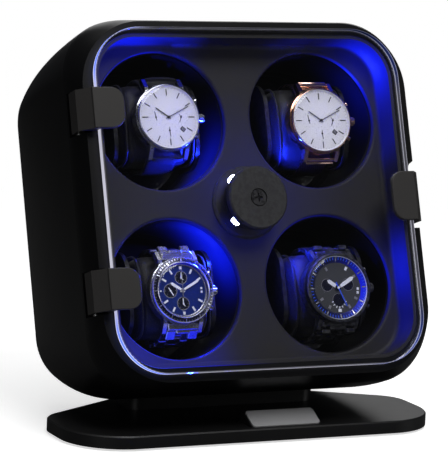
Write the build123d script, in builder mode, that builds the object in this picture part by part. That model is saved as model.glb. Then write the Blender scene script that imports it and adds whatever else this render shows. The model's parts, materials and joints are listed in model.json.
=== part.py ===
from build123d import *
import os
from math import sin, cos, tan, radians, pi

os.makedirs("parts", exist_ok=True)

# ------------------------------------------------------------------
# Driving dimensions, millimetres. Origin: centre of the stand's
# footprint on the table. +Z up, the door faces -Y, +X to the right.
# ------------------------------------------------------------------
tilt = 19.0                  # lean of the box back from upright
panel_y, panel_z = -7.4, 134.9   # centre of the front panel's face

# stand
base_half_w = 118.5
base_front, base_side_back = -55.0, 8.0
base_tongue_y, base_tongue_half = 78.0, 40.0
base_z0, base_thick = 1.3, 7.5
neck_half_w, neck_y0, neck_y1 = 62.0, 9.0, 34.0

# box form, measured from the panel face: d positive towards the door
rim_half_w, rim_top, rim_bottom = 105.5, 105.5, -106.5
rim_d, seam_d, cover_d, back_d = 18.5, 0.0, -100.0, -118.0
bulge, back_drop, form_power = 4.0, 18.0, 1.8
wall = 3.0

# panel tray
tray_half_w, tray_half_h, tray_r, tray_wall = 97.0, 98.0, 26.8, 2.0
tray_lip_d, panel_t = 18.2, 3.0
pitch = 100.0                # rotor spacing, both ways
hole_r = 41.5

# door
door_half_w, door_half_h, door_r = 99.0, 101.4, 30.0
door_back_d, door_t = 19.0, 5.0
hinge_a, hinge_d, hinge_b = -106.0, 8.5, 52.5
hinge_h, knuckle_r, pin_r = 24.0, 3.3, 1.5
pocket_half = 13.0
notch_half = 20.5

# drive
gear_module, rotor_teeth, pinion_teeth = 1.0, 84, 16
gear_d0, gear_t = -70.5, 6.0
cup_front, cup_floor, cup_r = -3.8, -60.0, 42.6
plate_front, plate_t = -78.0, 3.0
shaft_r, bush_r, bush_gap = 4.0, 6.0, 0.05
rotor_seats = {"upper_left": (-pitch / 2, pitch / 2), "upper_right": (pitch / 2, pitch / 2),
               "lower_left": (-pitch / 2, -pitch / 2), "lower_right": (pitch / 2, -pitch / 2)}

# watch carrier
cushion_h, cushion_depth, cushion_r, cushion_half_w = 52.0, 35.0, 16.5, 24.0
cushion_mid_d = -18.5
strap_gap, strap_t = 0.4, 2.2

# rear controls
board_b = -28.0
knob_a = 24.0

s, c = sin(radians(tilt)), cos(radians(tilt))
body = Plane(origin=(0, panel_y, panel_z), x_dir=(1, 0, 0), z_dir=(0, -c, s))


def front(d, a=0.0, b=0.0):
    """Plane parallel to the panel: local x across, y up the panel."""
    return Plane(origin=body.from_local_coords((a, b, d)), x_dir=(1, 0, 0), z_dir=(0, -c, s))


def section(a=0.0, b=0.0, d=0.0):
    """Plane square to the panel's height: local x across, y towards the door."""
    return Plane(origin=body.from_local_coords((a, b, d)), x_dir=(1, 0, 0), z_dir=(0, -s, -c))


def side(a=0.0, b=0.0, d=0.0):
    """Plane square to the box's width: local x up the panel, y towards the door."""
    return Plane(origin=body.from_local_coords((a, b, d)), x_dir=(0, s, c), z_dir=(1, 0, 0))


def save(builder, name):
    builder.part.label = name
    export_step(builder.part, "parts/" + name + ".step")


def outline(d, inset=0.0):
    """Width, height, mid height and corner radius of the box at depth d."""
    if d >= 0:
        e = bulge * sin(pi / 2 * (rim_d - d) / (rim_d - seam_d))
        r = 40.0 - 6.0 * (rim_d - d) / rim_d
    else:
        x = min(-d / -back_d, 1.0)
        drop = back_drop * (1 - (1 - x ** form_power) ** (1 / form_power))
        e = bulge - drop
        r = 34.0 - 0.5 * drop
    lift = 9.0 * ((-d - 30.0) / 88.0) ** 1.5 if d < -30 else 0.0
    top = rim_top + e - inset
    bottom = rim_bottom - e + lift + inset
    return 2 * (rim_half_w + e - inset), top - bottom, (top + bottom) / 2, max(r - inset, 4.0)


# ------------------------------------------------------------------
# Box forms and hollows, one loft for each shell piece
# ------------------------------------------------------------------
with BuildPart() as bezel_form:
    for d in (18.5, 14.0, 9.0, 4.0, 0.0):
        w, h, mid, r = outline(d)
        with BuildSketch(front(d, b=mid)):
            RectangleRounded(w, h, r)
    loft()

with BuildPart() as shell_form:
    for d in (0.0, -33.0, -67.0, -100.0):
        w, h, mid, r = outline(d)
        with BuildSketch(front(d, b=mid)):
            RectangleRounded(w, h, r)
    loft()

with BuildPart() as cover_form:
    for d in (-100.0, -107.0, -112.5, -116.3, -118.0):
        w, h, mid, r = outline(d)
        with BuildSketch(front(d, b=mid)):
            RectangleRounded(w, h, r)
    loft()

with BuildPart() as shell_hollow:
    for d in (0.5, -33.0, -67.0, -100.5):
        w, h, mid, r = outline(d, wall)
        with BuildSketch(front(d, b=mid)):
            RectangleRounded(w, h, r)
    loft()

with BuildPart() as cover_hollow:
    for d in (-99.5, -106.0, -111.0, -115.0):
        w, h, mid, r = outline(d, wall)
        with BuildSketch(front(d, b=mid)):
            RectangleRounded(w, h, r)
    loft()

cover_screw_spots = [(-87.0, 45.0), (87.0, 45.0), (-87.0, -45.0), (87.0, -45.0), (0.0, 88.0), (0.0, -77.0)]
stand_screw_spots = [(-40.0, 15.0), (40.0, 15.0), (-40.0, 28.0), (40.0, 28.0)]

# ------------------------------------------------------------------
# Housing
# ------------------------------------------------------------------
with BuildPart() as shell_void:
    add(shell_hollow.part)
    # cover screw bosses grown from the walls
    with BuildSketch(front(-100.5)):
        for a, b in cover_screw_spots:
            if a:
                with Locations((a + (9 if a > 0 else -9), b)):
                    Rectangle(28.0, 11.0)
            else:
                with Locations((0, b + (9 if b > 0 else -9))):
                    Rectangle(11.0, 28.0)
    extrude(amount=14.5, mode=Mode.SUBTRACT)

with BuildPart() as housing_shell:
    add(shell_form.part)
    add(shell_void.part, mode=Mode.SUBTRACT)
    with BuildSketch(front(-86.0)):
        with Locations(*cover_screw_spots):
            Circle(1.52)
    extrude(amount=-15.0, mode=Mode.SUBTRACT)
    with BuildSketch(Plane.XY.offset(8.0)):
        with Locations(*stand_screw_spots):
            Circle(2.05)
    extrude(amount=22.0, mode=Mode.SUBTRACT)
save(housing_shell, "housing_shell")

with BuildPart() as front_bezel:
    add(bezel_form.part)
    with BuildSketch(front(-1.0)):
        RectangleRounded(2 * tray_half_w + 0.4, 2 * tray_half_h + 0.4, tray_r + 0.2)
    extrude(amount=25.0, mode=Mode.SUBTRACT)
    # hinge pockets, open to the side and to the rim, and the pin bores at their ends
    for hb in (hinge_b, -hinge_b):
        with BuildSketch(section(b=hb)):
            with Locations((-110.2, 12.2)):
                Rectangle(16.0, 20.0)
        extrude(amount=pocket_half, both=True, mode=Mode.SUBTRACT)
        with BuildSketch(section(b=hb)):
            with Locations((hinge_a, hinge_d)):
                Circle(pin_r + 0.02)
        extrude(amount=16.5, both=True, mode=Mode.SUBTRACT)
    # finger notch beside the handle
    with BuildSketch(side(a=99.5)):
        with Locations((0, 16.0)):
            RectangleRounded(2 * notch_half, 20.0, 3.0)
    extrude(amount=15.0, mode=Mode.SUBTRACT)
    # seat for the catch magnet in the notch floor
    with BuildSketch(front(6.5, a=103.6, b=-2.0)):
        Circle(3.55)
    extrude(amount=-4.0, mode=Mode.SUBTRACT)
save(front_bezel, "front_bezel")

with BuildPart() as cover_void:
    add(cover_hollow.part)
    with BuildSketch(front(-116.0)):
        with Locations(*cover_screw_spots):
            Circle(5.0)
    extrude(amount=16.2, mode=Mode.SUBTRACT)

with BuildPart() as rear_cover:
    add(cover_form.part)
    add(cover_void.part, mode=Mode.SUBTRACT)
    with BuildSketch(front(-119.0)):
        with Locations(*cover_screw_spots):
            Circle(1.7)
        with Locations((-knob_a, board_b), (knob_a, board_b)):
            Circle(3.6)
        with Locations((0, board_b)):
            Circle(4.5)
        with Locations((0, -58.0)):
            Circle(5.6)
        with Locations((0, 42.0)):
            with GridLocations(0, 8.0, 1, 6):
                SlotOverall(64.0, 3.2)
    extrude(amount=20.0, mode=Mode.SUBTRACT)
save(rear_cover, "rear_cover")

with BuildPart() as rear_cover_screws:
    with BuildSketch(front(back_d)):
        with Locations(*cover_screw_spots):
            Circle(3.1)
    extrude(amount=-1.8)
    with BuildSketch(front(back_d)):
        with Locations(*cover_screw_spots):
            Circle(1.5)
    extrude(amount=26.0)
    with BuildSketch(front(back_d - 1.8)):
        with Locations(*cover_screw_spots):
            Rectangle(3.2, 0.8)
            Rectangle(0.8, 3.2)
    extrude(amount=0.9, mode=Mode.SUBTRACT)
save(rear_cover_screws, "rear_cover_screws")

# ------------------------------------------------------------------
# Front panel tray with four round windows
# ------------------------------------------------------------------
post_spots = [(0.0, 88.0), (0.0, -88.0), (-88.0, 0.0), (88.0, 0.0)]
with BuildPart() as front_panel:
    with BuildSketch(front(-panel_t)):
        RectangleRounded(2 * tray_half_w, 2 * tray_half_h, tray_r)
    extrude(amount=tray_lip_d + panel_t)
    with BuildSketch(front(0.0)):
        RectangleRounded(2 * (tray_half_w - tray_wall), 2 * (tray_half_h - tray_wall), tray_r - tray_wall)
    extrude(amount=tray_lip_d + 1.0, mode=Mode.SUBTRACT)
    cove = front_panel.faces().filter_by(lambda f: abs(body.to_local_coords(f.center()).Z) < 0.01 and f.geom_type == GeomType.PLANE)
    fillet(cove.edges(), 3.0)
    with BuildSketch(front(-panel_t - 1.0)):
        with GridLocations(pitch, pitch, 2, 2):
            Circle(hole_r)
        Circle(6.0)
    extrude(amount=panel_t + 2.0, mode=Mode.SUBTRACT)
    lips = front_panel.edges().filter_by(GeomType.CIRCLE).filter_by(
        lambda e: abs(e.radius - hole_r) < 0.01 and abs(body.to_local_coords(e.arc_center).Z) < 0.01)
    fillet(lips, 1.6)
    with BuildSketch(front(-panel_t)):
        with Locations(*post_spots):
            Circle(4.2)
    extrude(amount=plate_front + panel_t)
    with BuildSketch(front(plate_front)):
        with Locations(*post_spots):
            Circle(1.52)
    extrude(amount=12.0, mode=Mode.SUBTRACT)
save(front_panel, "front_panel")

# ------------------------------------------------------------------
# Chassis plate behind the rotors
# ------------------------------------------------------------------
standoffs = [(-34.0, -46.0), (34.0, -46.0), (-34.0, -10.0), (34.0, -10.0)]
motor_ear = 16.5
with BuildPart() as chassis_plate:
    with BuildSketch(front(plate_front)):
        RectangleRounded(186.0, 188.0, 22.0)
        with GridLocations(pitch, pitch, 2, 2):
            Circle(bush_r + 0.02, mode=Mode.SUBTRACT)
        with Locations((-pitch / 2, 0), (pitch / 2, 0)):
            Circle(5.0, mode=Mode.SUBTRACT)
        with Locations(*post_spots):
            Circle(1.7, mode=Mode.SUBTRACT)
        with Locations(*[(x, y) for x in (-50.0, 50.0) for y in (-motor_ear, motor_ear)]):
            Circle(1.52, mode=Mode.SUBTRACT)
        Circle(9.0, mode=Mode.SUBTRACT)
    extrude(amount=-plate_t)
    with BuildSketch(front(plate_front - plate_t)):
        with Locations(*standoffs):
            Circle(2.6)
    extrude(amount=-5.4)
save(chassis_plate, "chassis_plate")

with BuildPart() as chassis_screws:
    # four into the panel posts, four holding the motors
    with BuildSketch(front(plate_front - plate_t)):
        with Locations(*post_spots):
            Circle(2.9)
    extrude(amount=-1.8)
    with BuildSketch(front(plate_front - plate_t)):
        with Locations(*post_spots):
            Circle(1.5)
    extrude(amount=12.0)
    with BuildSketch(front(plate_front - plate_t - 2.0)):
        with Locations(*[(x, y) for x in (-50.0, 50.0) for y in (-motor_ear, motor_ear)]):
            Circle(2.9)
    extrude(amount=-1.8)
    with BuildSketch(front(plate_front - plate_t - 2.0)):
        with Locations(*[(x, y) for x in (-50.0, 50.0) for y in (-motor_ear, motor_ear)]):
            Circle(1.5)
    extrude(amount=6.0)
save(chassis_screws, "chassis_screws")

with BuildPart() as rotor_bushes:
    with BuildSketch(front(plate_front - plate_t)):
        with GridLocations(pitch, pitch, 2, 2):
            Circle(bush_r)
    extrude(amount=plate_t)
    with BuildSketch(front(plate_front)):
        with GridLocations(pitch, pitch, 2, 2):
            Circle(8.5)
    extrude(amount=1.0)
    with BuildSketch(front(plate_front - plate_t - 1.0)):
        with GridLocations(pitch, pitch, 2, 2):
            Circle(shaft_r + bush_gap)
    extrude(amount=plate_t + 3.0, mode=Mode.SUBTRACT)
save(rotor_bushes, "rotor_bushes")

# ------------------------------------------------------------------
# Gear profiles
# ------------------------------------------------------------------
def tooth_points(teeth):
    r = gear_module * teeth / 2
    # running play: the small gear's teeth are thinner and shorter than the large ones
    half = pi * gear_module / 4 - (0.09 if teeth > 40 else 0.16)
    up, down = (0.88 if teeth > 40 else 0.84) * gear_module, 1.2 * gear_module
    k = tan(radians(20))
    return [(r - down - 0.4, -(half + down * k)), (r - down, -(half + down * k)), (r + up, -(half - up * k)),
            (r + up, half - up * k), (r - down, half + down * k), (r - down - 0.4, half + down * k)]


with BuildSketch() as rotor_gear_profile:
    Circle(rotor_teeth / 2 - 1.2)
    with PolarLocations(0, rotor_teeth):
        Polygon(*tooth_points(rotor_teeth), align=None)
    with PolarLocations(26.0, 6):
        Circle(8.0, mode=Mode.SUBTRACT)

with BuildSketch() as pinion_profile:
    Circle(pinion_teeth / 2 - 1.2)
    with PolarLocations(0, pinion_teeth, start_angle=11.25):
        Polygon(*tooth_points(pinion_teeth), align=None)

# ------------------------------------------------------------------
# Motors and pinions, one column each
# ------------------------------------------------------------------
for name, a in (("left", -pitch / 2), ("right", pitch / 2)):
    with BuildPart() as motor:
        with BuildSketch(front(plate_front - plate_t, a=a)):
            SlotOverall(2 * motor_ear + 9.0, 9.0, rotation=90)
        extrude(amount=-2.0)
        with BuildSketch(front(plate_front - plate_t, a=a)):
            Circle(12.5)
        extrude(amount=-12.0)
        with BuildSketch(front(plate_front - plate_t - 12.0, a=a)):
            Circle(12.0)
        extrude(amount=-11.0)
        with BuildSketch(front(plate_front - plate_t, a=a)):
            Circle(4.9)
        extrude(amount=plate_t)
        with BuildSketch(front(plate_front + 1.0, a=a)):
            Circle(pin_r + 0.05)
        extrude(amount=-13.0, mode=Mode.SUBTRACT)
        with BuildSketch(front(plate_front - plate_t, a=a)):
            with Locations((0, motor_ear), (0, -motor_ear)):
                Circle(1.6)
        extrude(amount=-2.0, mode=Mode.SUBTRACT)
    save(motor, "motor_" + name)

    with BuildPart() as pinion:
        with BuildSketch(front(gear_d0, a=a)):
            add(pinion_profile.sketch)
        extrude(amount=gear_t)
        with BuildSketch(front(gear_d0, a=a)):
            Circle(4.5)
        extrude(amount=-2.0)
        with BuildSketch(front(gear_d0 + gear_t, a=a)):
            Circle(pin_r)
        extrude(amount=-24.0)
    save(pinion, "pinion_" + name)

# ------------------------------------------------------------------
# Four rotors: cup, gear with its shaft, holder, cushion, watch, strap
# ------------------------------------------------------------------
# case radius, strap width, bezel width
# how far each watch sits off the middle of its cup: across, up
watch_seats = {"upper_left": (0.3, 0.0), "upper_right": (0.3, -2.5), "lower_left": (-1.4, -2.5), "lower_right": (0.0, -4.2)}
watch_sizes = {"upper_left": (20.2, 20.0, 1.4), "upper_right": (20.2, 18.0, 1.4),
               "lower_left": (19.8, 20.0, 2.2), "lower_right": (21.6, 22.0, 2.2)}
for name, (a, b) in rotor_seats.items():
    hub_axis = Axis(origin=front(0, a, b).origin, direction=(0, -c, s))

    with BuildPart() as cup:
        with BuildSketch(section(a, b)):
            with BuildLine():
                Polyline((0, cup_floor - 4.5), (11.0, cup_floor - 4.5), (11.0, cup_floor), (cup_r - 5.0, cup_floor),
                         (cup_r - 1.0, cup_floor + 5.0), (cup_r, cup_floor + 12.0), (cup_r, cup_front),
                         (cup_r - 1.8, cup_front), (cup_r - 1.8, cup_floor + 12.0), (cup_r - 3.0, cup_floor + 6.0),
                         (cup_r - 6.2, cup_floor + 2.5), (0, cup_floor + 2.5), close=True)
            make_face()
        revolve(axis=hub_axis)
    save(cup, "rotor_cup_" + name)

    with BuildPart() as drive_gear:
        with BuildSketch(front(gear_d0, a, b)):
            add(rotor_gear_profile.sketch)
        extrude(amount=gear_t)
        with BuildSketch(front(gear_d0, a, b)):
            Circle(8.0)
        extrude(amount=plate_front + 1.2 - gear_d0)
        with BuildSketch(front(plate_front + 1.2, a, b)):
            Circle(shaft_r)
        extrude(amount=-7.2)
    save(drive_gear, "rotor_gear_" + name)

    holder_d0 = cup_floor + 2.5
    with BuildPart() as holder:
        with BuildSketch(front(holder_d0, a, b)):
            Circle(22.0)
        extrude(amount=3.0)
        with BuildSketch(front(holder_d0, a, b)):
            Circle(9.0)
        extrude(amount=cushion_mid_d - 22.0 - holder_d0)
        with BuildSketch(front(cushion_mid_d - 23.0, a, b)):
            RectangleRounded(55.0, 46.0, 6.0)
        extrude(amount=2.5)
        for cheek in (-1, 1):
            with BuildSketch(side(a + cheek * 26.25, b, cushion_mid_d)):
                with BuildLine():
                    Polyline((-20.0, -23.0), (20.0, -23.0))
                    Line((20.0, -23.0), (26.0, -16.5))
                    Line((26.0, -16.5), (26.0, -4.5))
                    RadiusArc((26.0, -4.5), (11.0, 11.0), -15.5)
                    Line((11.0, 11.0), (-11.0, 11.0))
                    RadiusArc((-11.0, 11.0), (-26.0, -4.5), -15.5)
                    Line((-26.0, -4.5), (-26.0, -16.5))
                    Line((-26.0, -16.5), (-20.0, -23.0))
                make_face()
            extrude(amount=1.25, both=True)
    save(holder, "watch_holder_" + name)

    seat_a, seat_b = a + watch_seats[name][0], b + watch_seats[name][1]
    with BuildPart() as cushion:
        with BuildSketch(side(a, seat_b, cushion_mid_d)):
            RectangleRounded(cushion_h, cushion_depth, cushion_r)
        extrude(amount=cushion_half_w, both=True)
        fillet(cushion.faces().filter_by(Axis.X).edges(), 5.0)
    save(cushion, "cushion_" + name)

    case_r, strap_w, bezel_w = watch_sizes[name]
    with BuildPart() as strap:
        with BuildSketch(side(seat_a, seat_b, cushion_mid_d)):
            g = 2 * (strap_gap + strap_t)
            RectangleRounded(cushion_h + g, cushion_depth + g, cushion_r + g / 2)
            g = 2 * strap_gap
            RectangleRounded(cushion_h + g, cushion_depth + g, cushion_r + g / 2, mode=Mode.SUBTRACT)
        extrude(amount=strap_w / 2, both=True)
    save(strap, "watch_strap_" + name)

    case_d0 = cushion_mid_d + cushion_depth / 2 + strap_gap + strap_t
    with BuildPart() as watch:
        with BuildSketch(front(case_d0, seat_a, seat_b)):
            Circle(case_r - 2.0)
        extrude(amount=1.6)
        with BuildSketch(front(case_d0 + 1.6, seat_a, seat_b)):
            Circle(case_r)
        extrude(amount=6.0)
        with BuildSketch(front(case_d0 + 7.6, seat_a, seat_b)):
            Circle(case_r - 0.6)
        extrude(amount=2.6)
        fillet(watch.edges().filter_by(GeomType.CIRCLE).filter_by(
            lambda e: abs(body.to_local_coords(e.arc_center).Z - case_d0 - 10.2) < 0.01), 0.45 * bezel_w)
        with BuildSketch(front(case_d0 + 10.3, seat_a, seat_b)):
            Circle(case_r - bezel_w)
        extrude(amount=-2.0, mode=Mode.SUBTRACT)
        # lugs
        for up in (-1, 1):
            for across in (-1, 1):
                with BuildSketch(side(seat_a + across * (strap_w / 2 + 1.3), seat_b)):
                    with BuildLine():
                        Polyline((up * 10.0, case_d0 + 7.0), (up * 18.5, case_d0 + 6.6), (up * 24.0, case_d0 + 2.6),
                                 (up * 24.6, case_d0 + 0.2), (up * 22.6, case_d0 - 0.4), (up * 19.0, case_d0 + 1.8),
                                 (up * 10.0, case_d0 + 2.2), close=True)
                    make_face()
                extrude(amount=1.2, both=True)
        # crown and pushers
        with BuildSketch(side(seat_a + case_r - 1.0, seat_b, case_d0 + 4.6)):
            Circle(2.6)
        extrude(amount=4.6)
        for t in (-28.0, 28.0):
            ct, st = cos(radians(t)), sin(radians(t))
            root = front(case_d0 + 4.6, seat_a + (case_r - 1.5) * ct, seat_b + (case_r - 1.5) * st).origin
            with BuildSketch(Plane(origin=root, x_dir=(0, -c, s), z_dir=(ct, st * s, st * c))):
                Circle(1.5)
            extrude(amount=4.2)
    save(watch, "watch_case_" + name)

# ------------------------------------------------------------------
# Light hub in the middle of the panel
# ------------------------------------------------------------------
with BuildPart() as hub_stem:
    with BuildSketch(section()):
        with BuildLine():
            Polyline((2.05, -6.0), (5.9, -6.0), (5.9, 0.0), (22.0, 0.0), (22.0, 1.2), (20.6, 2.5), (13.5, 3.0),
                     (12.0, 4.4), (12.0, 7.2), (2.05, 7.2), close=True)
        make_face()
    revolve(axis=Axis(origin=front(0).origin, direction=(0, -c, s)))
save(hub_stem, "hub_stem")

with BuildPart() as led_board:
    with BuildSketch(front(7.2)):
        Circle(17.2)
        Circle(5.0, mode=Mode.SUBTRACT)
    extrude(amount=1.6)
save(led_board, "led_board")

with BuildPart() as led_emitters:
    with BuildSketch(front(8.8)):
        with PolarLocations(17.0, 4, start_angle=45):
            RectangleRounded(4.4, 5.0, 1.0)
    extrude(amount=2.6)
save(led_emitters, "led_emitters")

with BuildPart() as hub_cap:
    with BuildSketch(section()):
        with BuildLine():
            Polyline((2.2, 8.8), (7.0, 8.8), (7.0, 12.4), (18.1, 12.4), (18.9, 13.2), (18.9, 17.3), (17.9, 18.3),
                     (5.4, 18.3), (5.4, 17.1), (2.2, 17.1), close=True)
        make_face()
    revolve(axis=Axis(origin=front(0).origin, direction=(0, -c, s)))
save(hub_cap, "hub_cap")

with BuildPart() as hub_screw:
    with BuildSketch(front(17.1)):
        Circle(4.7)
    extrude(amount=1.0)
    with BuildSketch(front(17.1)):
        Circle(2.0)
    extrude(amount=-18.0)
    with BuildSketch(front(18.1)):
        Rectangle(5.0, 1.0)
        Rectangle(1.0, 5.0)
    extrude(amount=-0.8, mode=Mode.SUBTRACT)
save(hub_screw, "hub_screw")

# ------------------------------------------------------------------
# Control board, power jack, wiring, knobs and light button
# ------------------------------------------------------------------
board_d = plate_front - plate_t - 5.4
with BuildPart() as control_board:
    with BuildSketch(front(board_d)):
        with Locations((0, board_b)):
            Rectangle(76.0, 46.0)
    extrude(amount=-1.6)
    with BuildSketch(front(board_d - 1.6)):
        with Locations((-knob_a, board_b), (knob_a, board_b)):
            Rectangle(13.0, 13.0)
    extrude(amount=-7.0)
    with BuildSketch(front(board_d - 1.6)):
        with Locations((0, board_b)):
            Rectangle(6.2, 6.2)
        with Locations((0, board_b + 14.0)):
            Rectangle(16.0, 8.0)
    extrude(amount=-3.4)
    with BuildSketch(front(board_d - 1.6)):
        with Locations((0, board_b - 15.0), (-14.5, board_b + 15.0)):
            Circle(4.0)
    extrude(amount=-6.0)
    with BuildSketch(front(board_d - 8.6)):
        with Locations((-knob_a, board_b), (knob_a, board_b)):
            Circle(3.05)
    extrude(amount=5.0, mode=Mode.SUBTRACT)
save(control_board, "control_board")

for name, a in (("left", -knob_a), ("right", knob_a)):
    with BuildPart() as knob:
        with BuildSketch(front(back_d - 1.0, a=a, b=board_b)):
            Circle(9.5)
        extrude(amount=-10.0)
        fillet(knob.edges().filter_by(GeomType.CIRCLE).sort_by(Axis(body.origin, (0, -c, s)))[0:1], 1.2)
        with BuildSketch(front(back_d - 1.0, a=a, b=board_b)):
            with PolarLocations(9.9, 18):
                Circle(0.7)
        extrude(amount=-8.0, mode=Mode.SUBTRACT)
        with BuildSketch(front(back_d - 11.0, a=a, b=board_b)):
            with Locations((0, 5.2)):
                Rectangle(1.2, 6.0)
        extrude(amount=0.7, mode=Mode.SUBTRACT)
        with BuildSketch(front(back_d - 1.0, a=a, b=board_b)):
            Circle(3.0)
        extrude(amount=back_d * -1 + board_d - 4.2 + 1.0)
    save(knob, "mode_knob_" + name)

with BuildPart() as light_button:
    with BuildSketch(front(back_d - 2.4, b=board_b)):
        Circle(4.44)
    extrude(amount=8.0)
    with BuildSketch(front(back_d + 3.6, b=board_b)):
        Circle(5.6)
    extrude(amount=1.6)
    with BuildSketch(front(back_d + 5.0, b=board_b)):
        Circle(2.0)
    extrude(amount=19.6)
    fillet(light_button.edges().filter_by(GeomType.CIRCLE).sort_by(Axis(body.origin, (0, -c, s)))[0:1], 0.8)
save(light_button, "light_button")

with BuildPart() as power_jack:
    with BuildSketch(front(back_d, b=-58.0)):
        Circle(7.5)
    extrude(amount=-1.4)
    with BuildSketch(front(back_d, b=-58.0)):
        Circle(5.5)
    extrude(amount=13.0)
    with BuildSketch(front(back_d - 1.4, b=-58.0)):
        Circle(2.75)
    extrude(amount=9.5, mode=Mode.SUBTRACT)
save(power_jack, "power_jack")


def cable(*points):
    """Round lead through body points with rounded bends."""
    with BuildPart() as run:
        with BuildLine():
            path = FilletPolyline(*[body.from_local_coords(p) for p in points], radius=2.6)
        with BuildSketch(Plane(origin=path @ 0, z_dir=path % 0)):
            Circle(1.2)
        sweep()
    return run.part


# supply lead, a lead to each motor and the lead to the light hub
leads = [cable((0, -58, -104.9), (0, -58, -97), (18, -46, -97), (18, -46, -88.1)),
         cable((-34, -20, -88.1), (-34, -20, -110), (-50, 5, -110), (-50, 5, -104.1)),
         cable((34, -20, -88.1), (34, -20, -110), (50, 5, -110), (50, 5, -104.1)),
         cable((6, -7.6, -88.1), (6, -7.6, -94), (0, 0, -94), (0, 0, -6.1))]
with BuildPart() as wiring:
    for lead in leads:
        add(lead)
save(wiring, "wiring")

# ------------------------------------------------------------------
# Door: clear panel, hinge clamps and pins, handle, catch
# ------------------------------------------------------------------
clamp_screw_spots = [(-90.5, hinge_b + 6.0), (-90.5, hinge_b - 6.0), (-90.5, -hinge_b + 6.0), (-90.5, -hinge_b - 6.0),
                     (92.0, 5.0), (92.0, -9.0)]
with BuildPart() as door_panel:
    with BuildSketch(front(door_back_d, b=-0.5)):
        RectangleRounded(2 * door_half_w, 2 * door_half_h, door_r)
    extrude(amount=door_t)
    chamfer(door_panel.faces().filter_by(lambda f: abs(abs(f.normal_at().Y) - c) < 0.001).edges(), 0.5)
    with BuildSketch(front(door_back_d - 1.0)):
        with Locations(*clamp_screw_spots):
            Circle(1.6)
    extrude(amount=door_t + 2.0, mode=Mode.SUBTRACT)
save(door_panel, "door_panel")

front_d = door_back_d + door_t
with BuildPart() as hinge_clamps:
    for hb in (hinge_b, -hinge_b):
        # slanted and side leaves down to the pin
        with BuildSketch(section(b=hb)):
            with BuildLine():
                Polyline((-98.0, front_d + 2.8), (-102.4, front_d + 2.8), (-110.3, 17.7), (-110.3, 7.6), (-108.6, 6.2),
                         (hinge_a, hinge_d), (hinge_a, 12.0), (-107.4, 13.5), (-107.4, 15.8), (-105.2, door_back_d),
                         (-99.2, door_back_d), (-99.2, front_d), (-98.0, front_d), close=True)
            make_face()
            with Locations((hinge_a, hinge_d)):
                Circle(knuckle_r)
        extrude(amount=hinge_h / 2, both=True)
        # front leaf with a rounded free end
        with BuildSketch(front(front_d, b=hb)):
            with Locations((-93.4, 0)):
                RectangleRounded(19.0, hinge_h, 8.0)
            with Locations((-98.4, 0)):
                Rectangle(10.0, hinge_h)
        extrude(amount=2.8)
    with BuildSketch(section(b=0)):
        with Locations((hinge_a, hinge_d)):
            Circle(pin_r + 0.05)
    extrude(amount=80.0, both=True, mode=Mode.SUBTRACT)
    with BuildSketch(front(front_d)):
        with Locations(*clamp_screw_spots[:4]):
            Circle(1.52)
    extrude(amount=1.8, mode=Mode.SUBTRACT)
    fillet(hinge_clamps.edges().filter_by(lambda e: abs(body.to_local_coords(e.center()).Z - front_d - 2.8) < 0.01), 0.6)
save(hinge_clamps, "hinge_clamps")

with BuildPart() as hinge_pins:
    for hb in (hinge_b, -hinge_b):
        with BuildSketch(section(b=hb)):
            with Locations((hinge_a, hinge_d)):
                Circle(pin_r)
        extrude(amount=16.0, both=True)
save(hinge_pins, "hinge_pins")

with BuildPart() as clamp_screws:
    # screws from inside the door, each through a wide washer head
    with BuildSketch(front(door_back_d)):
        with Locations(*clamp_screw_spots):
            Circle(3.0)
    extrude(amount=-1.4)
    with BuildSketch(front(door_back_d)):
        with Locations(*clamp_screw_spots):
            Circle(1.5)
    extrude(amount=door_t + 1.6)
    with BuildSketch(front(door_back_d - 1.4)):
        with Locations(*clamp_screw_spots):
            Rectangle(3.0, 0.7)
            Rectangle(0.7, 3.0)
    extrude(amount=0.8, mode=Mode.SUBTRACT)
save(clamp_screws, "clamp_screws")

handle_b, handle_h = -2.0, 29.8
with BuildPart() as door_handle:
    with BuildSketch(front(front_d, b=handle_b)):
        with Locations((93.2, 0)):
            RectangleRounded(16.0, handle_h, 7.6)
        with Locations((96.5, 0)):
            Rectangle(6.0, handle_h)
    extrude(amount=2.8)
    # slanted and side leaves down to the catch
    with BuildSketch(section(b=handle_b)):
        with BuildLine():
            Polyline((98.0, front_d + 2.8), (100.4, front_d + 2.8), (105.6, 21.2), (105.6, 8.6), (102.8, 8.6),
                     (102.8, 19.9), (99.2, front_d - 0.2), (99.2, front_d), (98.0, front_d), close=True)
        make_face()
    extrude(amount=handle_h / 2, both=True)
    # foot that carries the strike plate
    with BuildSketch(front(8.6, a=103.0, b=handle_b)):
        RectangleRounded(6.6, 12.0, 1.5)
    extrude(amount=2.4)
    with BuildSketch(front(8.6, a=103.6, b=handle_b)):
        Circle(2.55)
    extrude(amount=1.2, mode=Mode.SUBTRACT)
    with BuildSketch(front(front_d)):
        with Locations(*clamp_screw_spots[4:]):
            Circle(1.52)
    extrude(amount=1.8, mode=Mode.SUBTRACT)
    fillet(door_handle.edges().filter_by(lambda e: abs(body.to_local_coords(e.center()).Z - front_d - 2.8) < 0.01), 0.7)
save(door_handle, "door_handle")

with BuildPart() as catch_strike:
    with BuildSketch(front(7.9, a=103.6, b=handle_b)):
        Circle(2.5)
    extrude(amount=1.9)
save(catch_strike, "catch_strike")

with BuildPart() as catch_magnet:
    with BuildSketch(front(2.6, a=103.6, b=handle_b)):
        Circle(3.5)
    extrude(amount=3.4)
save(catch_magnet, "catch_magnet")

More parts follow.
